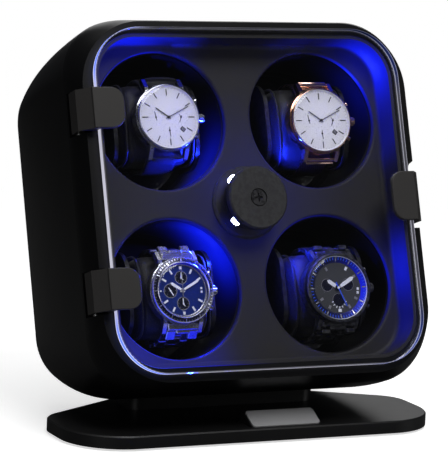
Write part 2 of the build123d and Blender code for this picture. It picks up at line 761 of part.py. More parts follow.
# ------------------------------------------------------------------
# Stand
# ------------------------------------------------------------------
base_top = base_z0 + base_thick
foot_spots = [(-96.0, -36.0), (96.0, -36.0), (-90.0, 6.0), (90.0, 6.0), (-28.0, 68.0), (28.0, 68.0), (0.0, 0.0)]
with BuildPart() as stand_base:
    with BuildSketch(Plane.XY.offset(base_z0)) as base_plan:
        with BuildLine():
            Polyline((base_half_w, base_front), (base_half_w, base_side_back), (base_tongue_half + 6.0, 52.0),
                     (base_tongue_half, base_tongue_y), (-base_tongue_half, base_tongue_y), (-base_tongue_half - 6.0, 52.0),
                     (-base_half_w, base_side_back), (-base_half_w, base_front), close=True)
        make_face()
        fillet(base_plan.vertices().filter_by(lambda v: v.Y < base_front + 1), 35.0)
        fillet(base_plan.vertices().filter_by(lambda v: abs(v.Y - base_side_back) < 1), 20.0)
        fillet(base_plan.vertices().filter_by(lambda v: abs(v.Y - 52.0) < 1), 10.0)
        fillet(base_plan.vertices().filter_by(lambda v: v.Y > base_tongue_y - 1), 16.0)
    extrude(amount=base_thick)
    chamfer(stand_base.faces().sort_by(Axis.Z)[-1].edges(), 0.8)
    # sloped seat under the nameplate
    with BuildSketch(Plane(origin=(12.4, 0, 0), x_dir=(0, 1, 0), z_dir=(1, 0, 0))):
        with BuildLine():
            Polyline((-51.6, base_top - 0.5), (-51.6, base_top + 0.05), (-38.2, base_top + 6.8), (-37.0, base_top + 6.8),
                     (-34.0, base_top - 0.5), close=True)
        make_face()
    extrude(amount=22.8, both=True)
    # ballast pocket, screw counterbores, foot recesses
    with BuildSketch(Plane.XY.offset(base_z0 - 1.0)):
        with Locations((0, -30.0)):
            Rectangle(160.4, 30.4)
    extrude(amount=4.4, mode=Mode.SUBTRACT)
    with BuildSketch(Plane.XY.offset(base_z0 - 1.0)):
        with Locations(*stand_screw_spots):
            Circle(4.4)
    extrude(amount=4.2, mode=Mode.SUBTRACT)
    with BuildSketch(Plane.XY.offset(base_z0 - 1.0)):
        with Locations(*stand_screw_spots):
            Circle(2.2)
    extrude(amount=12.0, mode=Mode.SUBTRACT)
    with BuildSketch(Plane.XY.offset(base_z0 - 1.0)):
        with Locations(*foot_spots):
            Circle(7.1)
    extrude(amount=1.8, mode=Mode.SUBTRACT)
save(stand_base, "stand_base")

with BuildPart() as base_ballast:
    with BuildSketch(Plane.XY.offset(base_z0 + 0.2)):
        with Locations((0, -30.0)):
            Rectangle(160.0, 30.0)
    extrude(amount=3.2)
save(base_ballast, "base_ballast")

with BuildPart() as rubber_feet:
    with BuildSketch(Plane.XY):
        with Locations(*foot_spots):
            Circle(7.0)
    extrude(amount=base_z0 + 0.8)
save(rubber_feet, "rubber_feet")

with BuildPart() as nameplate:
    slope = Plane(origin=(12.4, -44.9, base_top + 3.425), x_dir=(1, 0, 0), z_dir=(0, -6.75, 13.4))
    with BuildSketch(slope):
        RectangleRounded(44.0, 14.4, 2.2)
    extrude(amount=0.8)
save(nameplate, "nameplate")

with BuildPart() as stand_neck:
    with BuildSketch(Plane.XY.offset(base_top)):
        with Locations((0, (neck_y0 + neck_y1) / 2)):
            RectangleRounded(2 * neck_half_w, neck_y1 - neck_y0, 9.0)
    extrude(amount=26.0)
    add(shell_form.part, mode=Mode.SUBTRACT)
    with BuildSketch(Plane.XY.offset(base_top - 1.0)):
        with Locations(*stand_screw_spots):
            Circle(2.2)
    extrude(amount=30.0, mode=Mode.SUBTRACT)
save(stand_neck, "stand_neck")

with BuildPart() as stand_screws:
    with BuildSketch(Plane.XY.offset(base_z0 + 0.7)):
        with Locations(*stand_screw_spots):
            Circle(4.0)
    extrude(amount=2.5)
    with BuildSketch(Plane.XY.offset(base_z0 + 0.7)):
        with Locations(*stand_screw_spots):
            Circle(2.0)
    extrude(amount=16.5)
save(stand_screws, "stand_screws")
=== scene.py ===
import json
import math
import random

import bmesh
import bpy
import numpy as np
from mathutils import Matrix, Vector


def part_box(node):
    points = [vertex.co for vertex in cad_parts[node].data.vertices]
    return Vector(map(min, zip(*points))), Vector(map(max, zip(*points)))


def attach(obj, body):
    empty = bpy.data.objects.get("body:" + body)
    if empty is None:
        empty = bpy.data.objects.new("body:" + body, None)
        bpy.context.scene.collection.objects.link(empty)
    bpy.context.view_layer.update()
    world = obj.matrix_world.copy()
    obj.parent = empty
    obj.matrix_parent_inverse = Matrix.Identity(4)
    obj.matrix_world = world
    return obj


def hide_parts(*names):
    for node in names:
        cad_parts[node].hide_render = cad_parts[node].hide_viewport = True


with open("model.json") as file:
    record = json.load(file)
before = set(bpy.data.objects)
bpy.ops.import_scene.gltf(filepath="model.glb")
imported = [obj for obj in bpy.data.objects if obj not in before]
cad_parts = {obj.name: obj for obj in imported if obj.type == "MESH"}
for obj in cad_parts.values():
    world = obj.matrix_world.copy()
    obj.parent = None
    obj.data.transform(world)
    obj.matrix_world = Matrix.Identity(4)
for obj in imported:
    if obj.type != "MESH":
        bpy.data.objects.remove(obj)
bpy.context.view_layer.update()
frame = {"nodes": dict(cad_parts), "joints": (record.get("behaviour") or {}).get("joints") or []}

nodes = frame["nodes"]
joints = {j["name"]: j for j in frame["joints"]}
NAMES = ("upper_left", "upper_right", "lower_left", "lower_right")

# ------------------------------------------------------------------
# Box frame from the joints: a across, b up the panel, d out of the panel, millimetres
# ------------------------------------------------------------------
seat_pos = {k: Vector(joints["rotor_%s_spin" % k]["pos_m"]) for k in NAMES}
AN = Vector(joints["rotor_upper_left_spin"]["axis"]).normalized()
AA = Vector((1.0, 0.0, 0.0))
AU = AN.cross(AA).normalized()
MID = sum(seat_pos.values(), Vector()) / 4
SEAT = {k: ((p - MID).dot(AA) * 1000, (p - MID).dot(AU) * 1000) for k, p in seat_pos.items()}
BOX = Matrix.Identity(4)
for i in range(3):
    BOX[i][0], BOX[i][1], BOX[i][2], BOX[i][3] = AA[i] * 0.001, AU[i] * 0.001, AN[i] * 0.001, MID[i]
WORLD = Matrix.Diagonal((0.001, 0.001, 0.001, 1.0))


def P(a, b, d):
    return BOX @ Vector((a, b, d))


def middle(name):
    """Middle of a node across and up the panel."""
    rel = (np.array([v.co for v in nodes[name].data.vertices], float) - np.array(MID)) * 1000
    aa, bb = rel @ np.array(AA), rel @ np.array(AU)
    return float(aa.max() + aa.min()) / 2, float(bb.max() + bb.min()) / 2


WATCH = {k: middle("watch_strap_" + k) for k in NAMES}
PAD = {k: middle("cushion_" + k) for k in NAMES}


# ------------------------------------------------------------------
# Materials
# ------------------------------------------------------------------
class Mat:
    def __init__(self, name):
        self.m = bpy.data.materials.new(name)
        self.m.use_nodes = True
        self.t = self.m.node_tree
        self.t.nodes.clear()
        self.out = self.n("ShaderNodeOutputMaterial")
        self.co = None

    def n(self, kind, props=None, ins=None):
        node = self.t.nodes.new(kind)
        for k, v in (props or {}).items():
            setattr(node, k, v)
        for k, v in (ins or {}).items():
            sock = node.inputs[k]
            if isinstance(v, bpy.types.NodeSocket):
                self.t.links.new(v, sock)
            elif isinstance(v, (tuple, list)) and sock.type == "RGBA" and len(v) == 3:
                sock.default_value = (*v, 1.0)
            else:
                sock.default_value = v
        return node

    def math(self, op, a, b=0.0, c=0.0, clamp=False):
        return self.n("ShaderNodeMath", {"operation": op, "use_clamp": clamp}, {0: a, 1: b, 2: c}).outputs[0]

    def vmath(self, op, a, b=(0, 0, 0)):
        node = self.n("ShaderNodeVectorMath", {"operation": op}, {0: a, 1: b})
        return node.outputs["Value"] if op in ("DOT_PRODUCT", "LENGTH") else node.outputs[0]

    def coords(self):
        if self.co is None:
            self.co = self.n("ShaderNodeTexCoord").outputs["Object"]
        return self.co

    def mapped(self, scale, rot=(0, 0, 0)):
        return self.n("ShaderNodeMapping", None, {"Vector": self.coords(), "Scale": scale, "Rotation": rot}).outputs[0]

    def noise(self, scale, detail=2.0, vec=None, rough=0.5):
        return self.n("ShaderNodeTexNoise", None, {"Vector": vec or self.coords(), "Scale": scale, "Detail": detail,
                                                   "Roughness": rough}).outputs["Fac"]

    def ramp(self, fac, lo, hi, a=0.0, b=1.0):
        return self.n("ShaderNodeMapRange", {"interpolation_type": "SMOOTHSTEP"},
                      {"Value": fac, "From Min": lo, "From Max": hi, "To Min": a, "To Max": b}).outputs[0]

    def mix(self, fac, a, b):
        node = self.n("ShaderNodeMix", {"data_type": "RGBA"})
        for key, v in ((0, fac), (6, a), (7, b)):
            if isinstance(v, bpy.types.NodeSocket):
                self.t.links.new(v, node.inputs[key])
            elif key:
                node.inputs[key].default_value = (*v[:3], 1.0)
            else:
                node.inputs[key].default_value = v
        return node.outputs[2]

    def scaled(self, colour, k):
        return tuple(min(1.0, v * k) for v in colour)

    def finish(self, shader):
        self.t.links.new(shader, self.out.inputs["Surface"])
        return self.m


def spill(m, spots, face=0.35):
    """Blue light from the hub lamps lying on a surface: soft pools in box coordinates (across, up, out, reach, strength)."""
    geo = m.n("ShaderNodeNewGeometry")
    rel = m.vmath("SUBTRACT", geo.outputs["Position"], tuple(MID))
    xyz = [m.math("MULTIPLY", m.vmath("DOT_PRODUCT", rel, tuple(v)), 1000.0) for v in (AA, AU, AN)]
    total = None
    for cx, cy, cz, reach, k in spots:
        parts = []
        for v, q in zip(xyz, (cx, cy, cz)):
            dv = m.math("DIVIDE", m.math("SUBTRACT", v, q), reach)
            parts.append(m.math("MULTIPLY", dv, dv))
        r2 = m.math("ADD", m.math("ADD", parts[0], parts[1]), parts[2])
        pool = m.math("MULTIPLY", m.math("EXPONENT", m.math("MULTIPLY", r2, -1.0)), k)
        total = pool if total is None else m.math("ADD", total, pool)
    facing = m.math("ABSOLUTE", m.vmath("DOT_PRODUCT", geo.outputs["True Normal"], tuple(AN)))
    total = m.math("MULTIPLY", total, m.ramp(facing, 0.35, 0.95, 1.0, face))
    return m.math("MULTIPLY", total, m.math("MULTIPLY_ADD", m.noise(26.0, 4.0), 0.7, 0.65))


def surface(name, colour, rough=0.45, metallic=0.0, grain=1600.0, grain_mm=0.02, mottle=0.12, wear=0.0, coat=0.0,
            spec=0.5, brush=None, brush_mm=0.01, smudge=0.06, emit=None, emit_k=0.0, sheen=0.0, ior=1.5, pools=None, face=0.35):
    """Moulded, painted or machined surface: cloudy colour, fine grain, uneven gloss, lighter worn edges."""
    m = Mat(name)
    cloud = m.noise(28.0, 3.0)
    base = m.mix(m.ramp(cloud, 0.3, 0.7), m.scaled(colour, 1 - mottle), m.scaled(colour, 1 + mottle))
    if wear:
        edge = m.ramp(m.n("ShaderNodeNewGeometry").outputs["Pointiness"], 0.505, 0.56)
        chips = m.math("MULTIPLY", edge, m.ramp(m.noise(420.0, 4.0), 0.35, 0.6))
        base = m.mix(m.math("MULTIPLY", chips, wear), base, m.scaled([c + 0.05 for c in colour], 2.2))
    gloss = m.math("MULTIPLY_ADD", m.noise(95.0, 5.0, rough=0.65), 2 * smudge, rough - smudge, clamp=True)
    height = m.noise(grain, 2.0)
    if brush is not None:
        streak = m.noise(1.0, 3.0, m.mapped(brush))
        height = m.math("ADD", m.math("MULTIPLY", streak, brush_mm / max(grain_mm, 1e-4)), height)
        gloss = m.math("MULTIPLY_ADD", streak, 0.16, m.math("SUBTRACT", gloss, 0.08), clamp=True)
    bump = m.n("ShaderNodeBump", None, {"Height": height, "Strength": 0.35, "Distance": grain_mm * 0.00035}).outputs[0]
    ins = {"Base Color": base, "Roughness": gloss, "Metallic": metallic, "Normal": bump, "Coat Weight": coat,
           "Coat Roughness": 0.06, "Specular IOR Level": spec, "IOR": ior, "Sheen Weight": sheen}
    if emit:
        ins["Emission Color"] = emit
        ins["Emission Strength"] = emit_k
    # painted light: pools of blue lamp light from the hub laid on the surface as emission
    if pools:
        k = spill(m, pools, face)
        ins["Emission Color"] = m.mix(m.ramp(k, 0.8, 2.4), (0.003, 0.012, 1.0), (0.12, 0.20, 1.0))
        ins["Emission Strength"] = k
    return m.finish(m.n("ShaderNodeBsdfPrincipled", None, ins).outputs[0])


def leather(name, colour, cell=900.0, depth_mm=0.08, rough=0.5, sheen=0.1):
    """Grained leather: rounded pebbles with creases between them."""
    m = Mat(name)
    warp = m.vmath("ADD", m.coords(), m.vmath("SCALE", m.n("ShaderNodeTexNoise", None, {"Vector": m.coords(), "Scale": 300.0}).outputs["Color"]))
    m.t.nodes[warp.node.inputs[1].links[0].from_node.name].inputs["Scale"].default_value = 0.0006
    vor = m.n("ShaderNodeTexVoronoi", {"feature": "DISTANCE_TO_EDGE"}, {"Vector": warp, "Scale": cell}).outputs["Distance"]
    pebble = m.ramp(vor, 0.0, 0.28)
    crease = m.ramp(m.noise(60.0, 4.0), 0.35, 0.65)
    base = m.mix(pebble, m.scaled(colour, 0.45), m.mix(crease, m.scaled(colour, 0.85), m.scaled(colour, 1.25)))
    gloss = m.math("MULTIPLY_ADD", pebble, -0.14, rough + 0.12, clamp=True)
    height = m.math("ADD", pebble, m.math("MULTIPLY", m.noise(2600.0, 2.0), 0.25))
    bump = m.n("ShaderNodeBump", None, {"Height": height, "Strength": 0.8, "Distance": depth_mm * 0.001}).outputs[0]
    return m.finish(m.n("ShaderNodeBsdfPrincipled", None, {"Base Color": base, "Roughness": gloss, "Normal": bump,
                                                           "Sheen Weight": sheen, "Specular IOR Level": 0.45}).outputs[0])


def mesh_metal(name, colour, rough=0.3):
    """Fine woven metal mesh: crossed rows of tiny loops."""
    m = Mat(name)
    w1 = m.n("ShaderNodeTexWave", {"wave_type": "BANDS", "bands_direction": "DIAGONAL"},
             {"Vector": m.mapped((1, 1, 1), (0, 0, 0.4)), "Scale": 330.0, "Distortion": 0.6}).outputs["Fac"]
    w2 = m.n("ShaderNodeTexWave", {"wave_type": "BANDS", "bands_direction": "X"},
             {"Vector": m.coords(), "Scale": 420.0, "Distortion": 0.4}).outputs["Fac"]
    h = m.math("MULTIPLY", w1, w2)
    base = m.mix(m.ramp(h, 0.05, 0.5), m.scaled(colour, 0.35), m.scaled(colour, 1.05))
    bump = m.n("ShaderNodeBump", None, {"Height": h, "Strength": 0.9, "Distance": 0.00012}).outputs[0]
    rg = m.math("MULTIPLY_ADD", m.noise(200.0, 3.0), 0.14, rough - 0.07, clamp=True)
    return m.finish(m.n("ShaderNodeBsdfPrincipled", None, {"Base Color": base, "Metallic": 1.0, "Roughness": rg,
                                                           "Normal": bump}).outputs[0])


def sunburst(name, colour, centre, rough=0.32, metallic=0.6, rays=150.0, contrast=0.10):
    """Watch dial: rays of fine brushing round its middle, with a slightly darker border."""
    m = Mat(name)
    rel = m.vmath("SUBTRACT", m.coords(), tuple(centre))
    x, y = m.vmath("DOT_PRODUCT", rel, tuple(AA)), m.vmath("DOT_PRODUCT", rel, tuple(AU))
    ang = m.math("ARCTAN2", y, x)
    vec = m.n("ShaderNodeCombineXYZ", None, {"X": m.math("MULTIPLY", m.math("COSINE", ang), rays * 0.1),
                                             "Y": m.math("MULTIPLY", m.math("SINE", ang), rays * 0.1)}).outputs[0]
    ray = m.noise(6.0, 5.0, vec, 0.7)
    r = m.math("SQRT", m.math("ADD", m.math("MULTIPLY", x, x), m.math("MULTIPLY", y, y)))
    shade = m.ramp(r, 0.006, 0.0195)
    base = m.mix(m.ramp(ray, 0.3, 0.7), m.scaled(colour, 1 - contrast), m.scaled(colour, 1 + contrast))
    base = m.mix(m.math("MULTIPLY", shade, 0.22), base, m.scaled(colour, 0.55))
    rg = m.math("MULTIPLY_ADD", ray, 0.12, rough - 0.06)
    bump = m.n("ShaderNodeBump", None, {"Height": ray, "Strength": 0.3, "Distance": 0.00002}).outputs[0]
    return m.finish(m.n("ShaderNodeBsdfPrincipled", None, {"Base Color": base, "Metallic": metallic, "Roughness": rg,
                                                           "Normal": bump}).outputs[0])


def clear(name, tint=(0.97, 0.98, 1.0), rough=0.02, strength=1.0, edge=None):
    """Clear sheet: sees through, with mirror-like sheen at glancing angles, faint smears, and lit edges."""
    m = Mat(name)
    smear = m.noise(22.0, 5.0, m.mapped((1.0, 1.0, 0.35)), 0.6)
    fres = m.n("ShaderNodeFresnel", None, {"IOR": 1.49}).outputs[0]
    fac = m.math("MULTIPLY", fres, m.math("MULTIPLY_ADD", smear, 0.25 * strength, 0.85 * strength), clamp=True)
    shadow = m.n("ShaderNodeLightPath").outputs["Is Shadow Ray"]
    fac = m.math("MULTIPLY", fac, m.math("SUBTRACT", 1.0, shadow))
    rg = m.math("MULTIPLY_ADD", smear, 0.03, rough)
    see = m.n("ShaderNodeBsdfTransparent", None, {"Color": tint}).outputs[0]
    shine = m.n("ShaderNodeBsdfAnisotropic", None, {"Color": (1, 1, 1), "Roughness": rg}).outputs[0]
    body = m.n("ShaderNodeMixShader", None, {0: fac, 1: see, 2: shine}).outputs[0]
    if edge is None:
        return m.finish(body)
    # edge-lit rim: faces square to the sheet glow, bluer near the corners the lamps point at
    facing = m.math("ABSOLUTE", m.vmath("DOT_PRODUCT", m.n("ShaderNodeNewGeometry").outputs["True Normal"], tuple(AN)))
    rim = m.ramp(facing, 0.75, 0.55)
    rel = m.vmath("SUBTRACT", m.coords(), tuple(MID))
    x = m.math("MULTIPLY", m.vmath("DOT_PRODUCT", rel, tuple(AA)), 1000.0)
    y = m.math("MULTIPLY", m.vmath("DOT_PRODUCT", rel, tuple(AU)), 1000.0)
    glow = edge(m, x, y)
    em = m.n("ShaderNodeEmission", None, {"Color": glow[0], "Strength": glow[1]}).outputs[0]
    gl = m.n("ShaderNodeBsdfAnisotropic", None, {"Color": (0.8, 0.85, 1), "Roughness": 0.12}).outputs[0]
    lit = m.n("ShaderNodeMixShader", None, {0: 0.2, 1: em, 2: gl}).outputs[0]
    lit2 = m.n("ShaderNodeMixShader", None, {0: 0.88, 1: see, 2: lit}).outputs[0]
    return m.finish(m.n("ShaderNodeMixShader", None, {0: rim, 1: body, 2: lit2}).outputs[0])


def glow(name, colour, strength, cast, spot=0.35):
    """Lamp lens: bright with an uneven core to the eye, and throwing a deeper colour on what is near."""
    m = Mat(name)
    k = m.math("MULTIPLY_ADD", m.noise(700.0, 3.0), strength * spot, strength * (1 - spot / 2))
    eye = m.n("ShaderNodeEmission", None, {"Color": colour, "Strength": k}).outputs[0]
    near = m.n("ShaderNodeEmission", None, {"Color": cast, "Strength": 9.0}).outputs[0]
    seen = m.n("ShaderNodeLightPath").outputs["Is Camera Ray"]
    return m.finish(m.n("ShaderNodeMixShader", None, {0: seen, 1: near, 2: eye}).outputs[0])


def door_edge(m, x, y):
    """Light carried to the sheet's edge: white lines along the sides, strongest at the left and below."""
    z = m.math("MULTIPLY", m.vmath("DOT_PRODUCT", m.vmath("SUBTRACT", m.coords(), tuple(MID)), tuple(AN)), 1000.0)
    ax, ay = m.math("ABSOLUTE", x), m.math("ABSOLUTE", y)
    corner = m.ramp(m.math("MULTIPLY", ax, ay), 5600.0, 8000.0)
    left = m.ramp(x, -70.0, -96.0)
    right = m.ramp(x, 80.0, 97.0)
    below = m.ramp(y, -70.0, -98.0)
    left_half = m.ramp(x, 10.0, -50.0)
    hot = m.math("MULTIPLY", corner, left_half)
    lines = m.math("MAXIMUM", m.ramp(z, 22.6, 23.4), m.ramp(z, 20.6, 19.8))
    even = m.math("MAXIMUM", m.math("MAXIMUM", left, hot), m.math("MULTIPLY", below, 0.3))
    fill = m.math("MULTIPLY_ADD", even, 0.72, 0.14)
    body = m.math("MAXIMUM", lines, fill)
    blue = m.math("MULTIPLY", corner, m.math("SUBTRACT", 1.0, m.math("MULTIPLY", lines, 0.8)))
    colour = m.mix(blue, (0.80, 0.79, 0.93), (0.10, 0.20, 1.0))
    k = m.math("MULTIPLY_ADD", left, 0.80, 0.30)
    k = m.math("ADD", k, m.math("MULTIPLY", right, 0.50))
    k = m.math("ADD", k, m.math("MULTIPLY", below, 0.70))
    k = m.math("ADD", k, m.math("MULTIPLY", hot, 0.75))
    k = m.math("MULTIPLY", k, m.math("MULTIPLY_ADD", m.noise(30.0, 3.0), 0.5, 0.8))
    return colour, m.math("MULTIPLY", k, body)


# painted light: pools of blue lamp light on the tray and inside the cups, each (across, up, out, reach, strength)
TRAY_LIGHT_POOLS = [(-72, 97, 9, 24, 0.80), (-95, 74, 9, 16, 0.5), (90, 82, 7, 21, 0.95), (97, 45, 7, 20, 0.14), (-80, -92, 9, 26, 1.6),
              (-40, -97, 10, 20, 0.9), (-97, -62, 9, 16, 0.7), (97, -44, 9, 19, 0.55), (97, -80, 9, 14, 0.15),
              (0, 0, 0, 42, 0.45), (-60, 84, 0, 12, 0.10), (-84, 76, 0, 15, 0.15), (-86, -82, 0, 16, 0.5), (82, 84, 0, 13, 0.5)]
CUP_LIGHT_POOLS = [(-14, 30, -14, 17, 0.28), (-24, 12, -8, 14, 0.30), (-14, -24, -12, 19, 0.95), (-30, -12, -6, 13, 0.5), (18, 30, -8, 14, 0.15),
             (-84, -84, -6, 16, 0.35), (84, 66, -6, 18, 0.10)]


MATS = {
    "shell": surface("shell", (0.0042, 0.0042, 0.0046), rough=0.36, grain=1900, grain_mm=0.03, mottle=0.03, spec=0.24, smudge=0.02),
    "panel": surface("panel", (0.023, 0.0215, 0.0218), rough=0.58, grain=1500, grain_mm=0.05, mottle=0.03, spec=0.3, smudge=0.02, pools=TRAY_LIGHT_POOLS, face=0.12),
    "cup": surface("cup", (0.004, 0.004, 0.005), rough=0.34, grain=300, grain_mm=0.01, mottle=0.1, smudge=0.03, spec=0.35, pools=CUP_LIGHT_POOLS, face=0.5),
    "holder": surface("holder", (0.005, 0.005, 0.006), rough=0.30, grain=500, grain_mm=0.01, mottle=0.1, wear=0.2, smudge=0.04, spec=0.4),
    "fitting": surface("fitting", (0.034, 0.032, 0.031), rough=0.50, grain=1700, grain_mm=0.03, mottle=0.02, spec=0.35, smudge=0.02),
    "hub": surface("hub", (0.026, 0.025, 0.0262), rough=0.50, grain=1700, grain_mm=0.03, mottle=0.02, wear=0.1, smudge=0.02, spec=0.35),
    "base": surface("base", (0.0085, 0.0085, 0.0088), rough=0.38, grain=1500, grain_mm=0.03, mottle=0.03, spec=0.4, smudge=0.02),
    "gear": surface("gear", (0.72, 0.71, 0.66), rough=0.42, grain=900, grain_mm=0.02, mottle=0.05),
    "chassis": surface("chassis", (0.06, 0.06, 0.062), rough=0.55, grain=1200, grain_mm=0.05),
    "brass": surface("brass", (0.72, 0.50, 0.20), rough=0.3, metallic=1.0, grain=900, grain_mm=0.01, brush=(4000, 60, 60)),
    "steel": surface("steel", (0.60, 0.60, 0.61), rough=0.32, metallic=1.0, grain=900, grain_mm=0.01, brush=(60, 60, 3500), wear=0.2),
    "dark_steel": surface("dark_steel", (0.05, 0.05, 0.055), rough=0.36, metallic=0.7, grain=1200, grain_mm=0.02, wear=0.5),
    "nickel": surface("nickel", (0.72, 0.71, 0.69), rough=0.18, metallic=1.0, grain=700, grain_mm=0.01),
    "iron": surface("iron", (0.07, 0.07, 0.073), rough=0.7, metallic=0.4, grain=700, grain_mm=0.15, mottle=0.3),
    "rubber": surface("rubber", (0.022, 0.022, 0.022), rough=0.82, grain=1400, grain_mm=0.08, mottle=0.2, spec=0.3),
    "plate": surface("plate", (0.46, 0.46, 0.47), rough=0.42, metallic=0.25, grain=1200, grain_mm=0.01, brush=(40, 5200, 5200), brush_mm=0.02, mottle=0.04),
    "board": surface("board", (0.02, 0.13, 0.05), rough=0.35, grain=900, grain_mm=0.03, mottle=0.2),
    "board_dark": surface("board_dark", (0.004, 0.004, 0.006), rough=0.3, grain=900, grain_mm=0.03, mottle=0.1),
    "screw_dark": surface("screw_dark", (0.014, 0.013, 0.015), rough=0.32, metallic=0.3, grain=900, grain_mm=0.02, mottle=0.1, wear=0.3),
    "cable": surface("cable", (0.014, 0.014, 0.014), rough=0.5, grain=1100, grain_mm=0.04),
    "motor": surface("motor", (0.52, 0.52, 0.53), rough=0.3, metallic=1.0, grain=800, grain_mm=0.01, brush=(50, 3000, 50)),
    "cushion": leather("cushion", (0.016, 0.015, 0.016), cell=760, depth_mm=0.10, rough=0.46),
    "strap_leather": leather("strap_leather", (0.010, 0.010, 0.011), cell=1300, depth_mm=0.08, rough=0.42),
    "strap_rose": mesh_metal("strap_rose", (0.62, 0.40, 0.33)),
    "rose": surface("rose", (0.86, 0.58, 0.46), rough=0.16, metallic=1.0, grain=700, grain_mm=0.006, smudge=0.05),
    "silver": surface("silver", (0.78, 0.78, 0.80), rough=0.16, metallic=1.0, grain=700, grain_mm=0.006, smudge=0.05),
    "steel_case": surface("steel_case", (0.70, 0.70, 0.72), rough=0.22, metallic=1.0, grain=900, grain_mm=0.008, brush=(2600, 90, 90), brush_mm=0.01),
    "link": surface("link", (0.66, 0.66, 0.68), rough=0.24, metallic=1.0, grain=900, grain_mm=0.01, brush=(90, 2600, 2600), brush_mm=0.015, wear=0.2),
    "black_case": surface("black_case", (0.020, 0.020, 0.022), rough=0.34, metallic=0.5, grain=900, grain_mm=0.01, wear=0.5, brush=(1800, 90, 90)),
    "black_link": surface("black_link", (0.022, 0.022, 0.024), rough=0.30, metallic=0.6, grain=900, grain_mm=0.01, wear=0.6, brush=(90, 2000, 2000)),
    "silver_mark": surface("silver_mark", (0.80, 0.80, 0.84), rough=0.25, metallic=0.8, grain=1000, grain_mm=0.004),
    "dark_mark": surface("dark_mark", (0.055, 0.055, 0.065), rough=0.3, metallic=0.4, grain=1000, grain_mm=0.004),
    # painted glow: the white marks, hands and ring give off a faint bluish emission though they are no lamp
    "glowing_white": surface("glowing_white", (0.86, 0.87, 0.92), rough=0.55, grain=1500, grain_mm=0.02, emit=(0.8, 0.85, 1.0, 1), emit_k=0.12),
    "grey_mark": surface("grey_mark", (0.30, 0.30, 0.33), rough=0.4, metallic=0.3, grain=1000, grain_mm=0.004),
    # painted glow: the blue marks give off a faint blue emission though they are no lamp
    "blue_mark": surface("blue_mark", (0.03, 0.10, 0.75), rough=0.35, metallic=0.3, grain=1000, grain_mm=0.004, emit=(0.03, 0.12, 1.0, 1), emit_k=0.25),
    "bezel_ink": surface("bezel_ink", (0.010, 0.012, 0.035), rough=0.22, metallic=0.4, grain=900, grain_mm=0.006, coat=0.5),
    # dark blue rings and tracks, with painted light: pools of blue lamp light on the two lower watches
    "bezel_blue": surface("bezel_blue", (0.006, 0.009, 0.03), rough=0.3, metallic=0.4, grain=900, grain_mm=0.006, pools=[(72, -56, 11, 17, 0.9), (-52, -38, 11, 16, 0.35)], face=0.9),
    "thread": surface("thread", (0.030, 0.028, 0.030), rough=0.8, grain=3000, grain_mm=0.05, mottle=0.3),
    "crystal": clear("crystal", tint=(0.99, 0.99, 1.0), rough=0.01, strength=0.9),
    "acrylic": clear("acrylic", tint=(0.975, 0.98, 0.99), rough=0.02, strength=0.55, edge=door_edge),
    "led": glow("led", (0.75, 0.80, 1.0, 1.0), 30.0, (0.004, 0.02, 1.0, 1.0)),
}

CAD_LOOK = {
    "housing_shell": "shell", "front_bezel": "shell", "rear_cover": "shell", "rear_cover_screws": "dark_steel",
    "front_panel": "panel", "chassis_plate": "chassis", "chassis_screws": "steel", "rotor_bushes": "brass",
    "motor_left": "motor", "motor_right": "motor", "pinion_left": "brass", "pinion_right": "brass",
    "control_board": "board", "power_jack": "dark_steel", "wiring": "cable", "hub_stem": "hub", "hub_cap": "hub",
    "hub_screw": "screw_dark", "led_board": "board_dark", "led_emitters": "led", "stand_neck": "base", "stand_base": "base",
    "stand_screws": "steel", "base_ballast": "iron", "rubber_feet": "rubber", "nameplate": "plate",
    "door_panel": "acrylic", "hinge_clamps": "fitting", "hinge_pins": "steel", "clamp_screws": "dark_steel",
    "door_handle": "fitting", "catch_magnet": "nickel", "catch_strike": "steel", "mode_knob_left": "fitting",
    "mode_knob_right": "fitting", "light_button": "fitting",
}
CASE_LOOK = {"upper_left": "silver", "upper_right": "rose", "lower_left": "steel_case", "lower_right": "black_case"}
for k in NAMES:
    CAD_LOOK["rotor_cup_" + k] = "cup"
    CAD_LOOK["rotor_gear_" + k] = "gear"
    CAD_LOOK["watch_holder_" + k] = "holder"
    CAD_LOOK["cushion_" + k] = "cushion"
    CAD_LOOK["watch_strap_" + k] = "strap_leather"
    CAD_LOOK["watch_case_" + k] = CASE_LOOK[k]
for name, look in CAD_LOOK.items():
    data = nodes[name].data
    data.materials.clear()
    data.materials.append(MATS[look])


# ------------------------------------------------------------------
# Mesh helpers, in box millimetres
# ------------------------------------------------------------------
def ring_faces(bm, rings, closed_ring=True, mat=0, flip=False):
    for r0, r1 in zip(rings, rings[1:]):
        m = len(r0)
        for i in range(m if closed_ring else m - 1):
            j = (i + 1) % m
            q = (r0[i], r0[j], r1[j], r1[i])
            f = bm.faces.new(q if not flip else q[::-1])
            f.material_index = mat


def lathe(bm, profile, a=0.0, b=0.0, seg=96, mat=0):
    """Solid of revolution about the d axis at (a, b); profile is a list of (r, d), closed back on itself."""
    rings, caps = [], []
    for r, d in profile:
        if r < 1e-6:
            rings.append([bm.verts.new((a, b, d))])
        else:
            rings.append([bm.verts.new((a + r * math.cos(2 * math.pi * i / seg), b + r * math.sin(2 * math.pi * i / seg), d))
                          for i in range(seg)])
    loops = list(zip(rings, rings[1:]))
    if len(rings[0]) > 1 or len(rings[-1]) > 1:
        loops.append((rings[-1], rings[0]))
    for r0, r1 in loops:
        for i in range(seg):
            j = (i + 1) % seg
            if len(r0) == 1 and len(r1) == 1:
                continue
            if len(r0) == 1:
                f = bm.faces.new((r0[0], r1[j], r1[i]))
            elif len(r1) == 1:
                f = bm.faces.new((r0[i], r0[j], r1[0]))
            else:
                f = bm.faces.new((r0[i], r0[j], r1[j], r1[i]))
            f.material_index = mat
    bmesh.ops.recalc_face_normals(bm, faces=bm.faces[:])


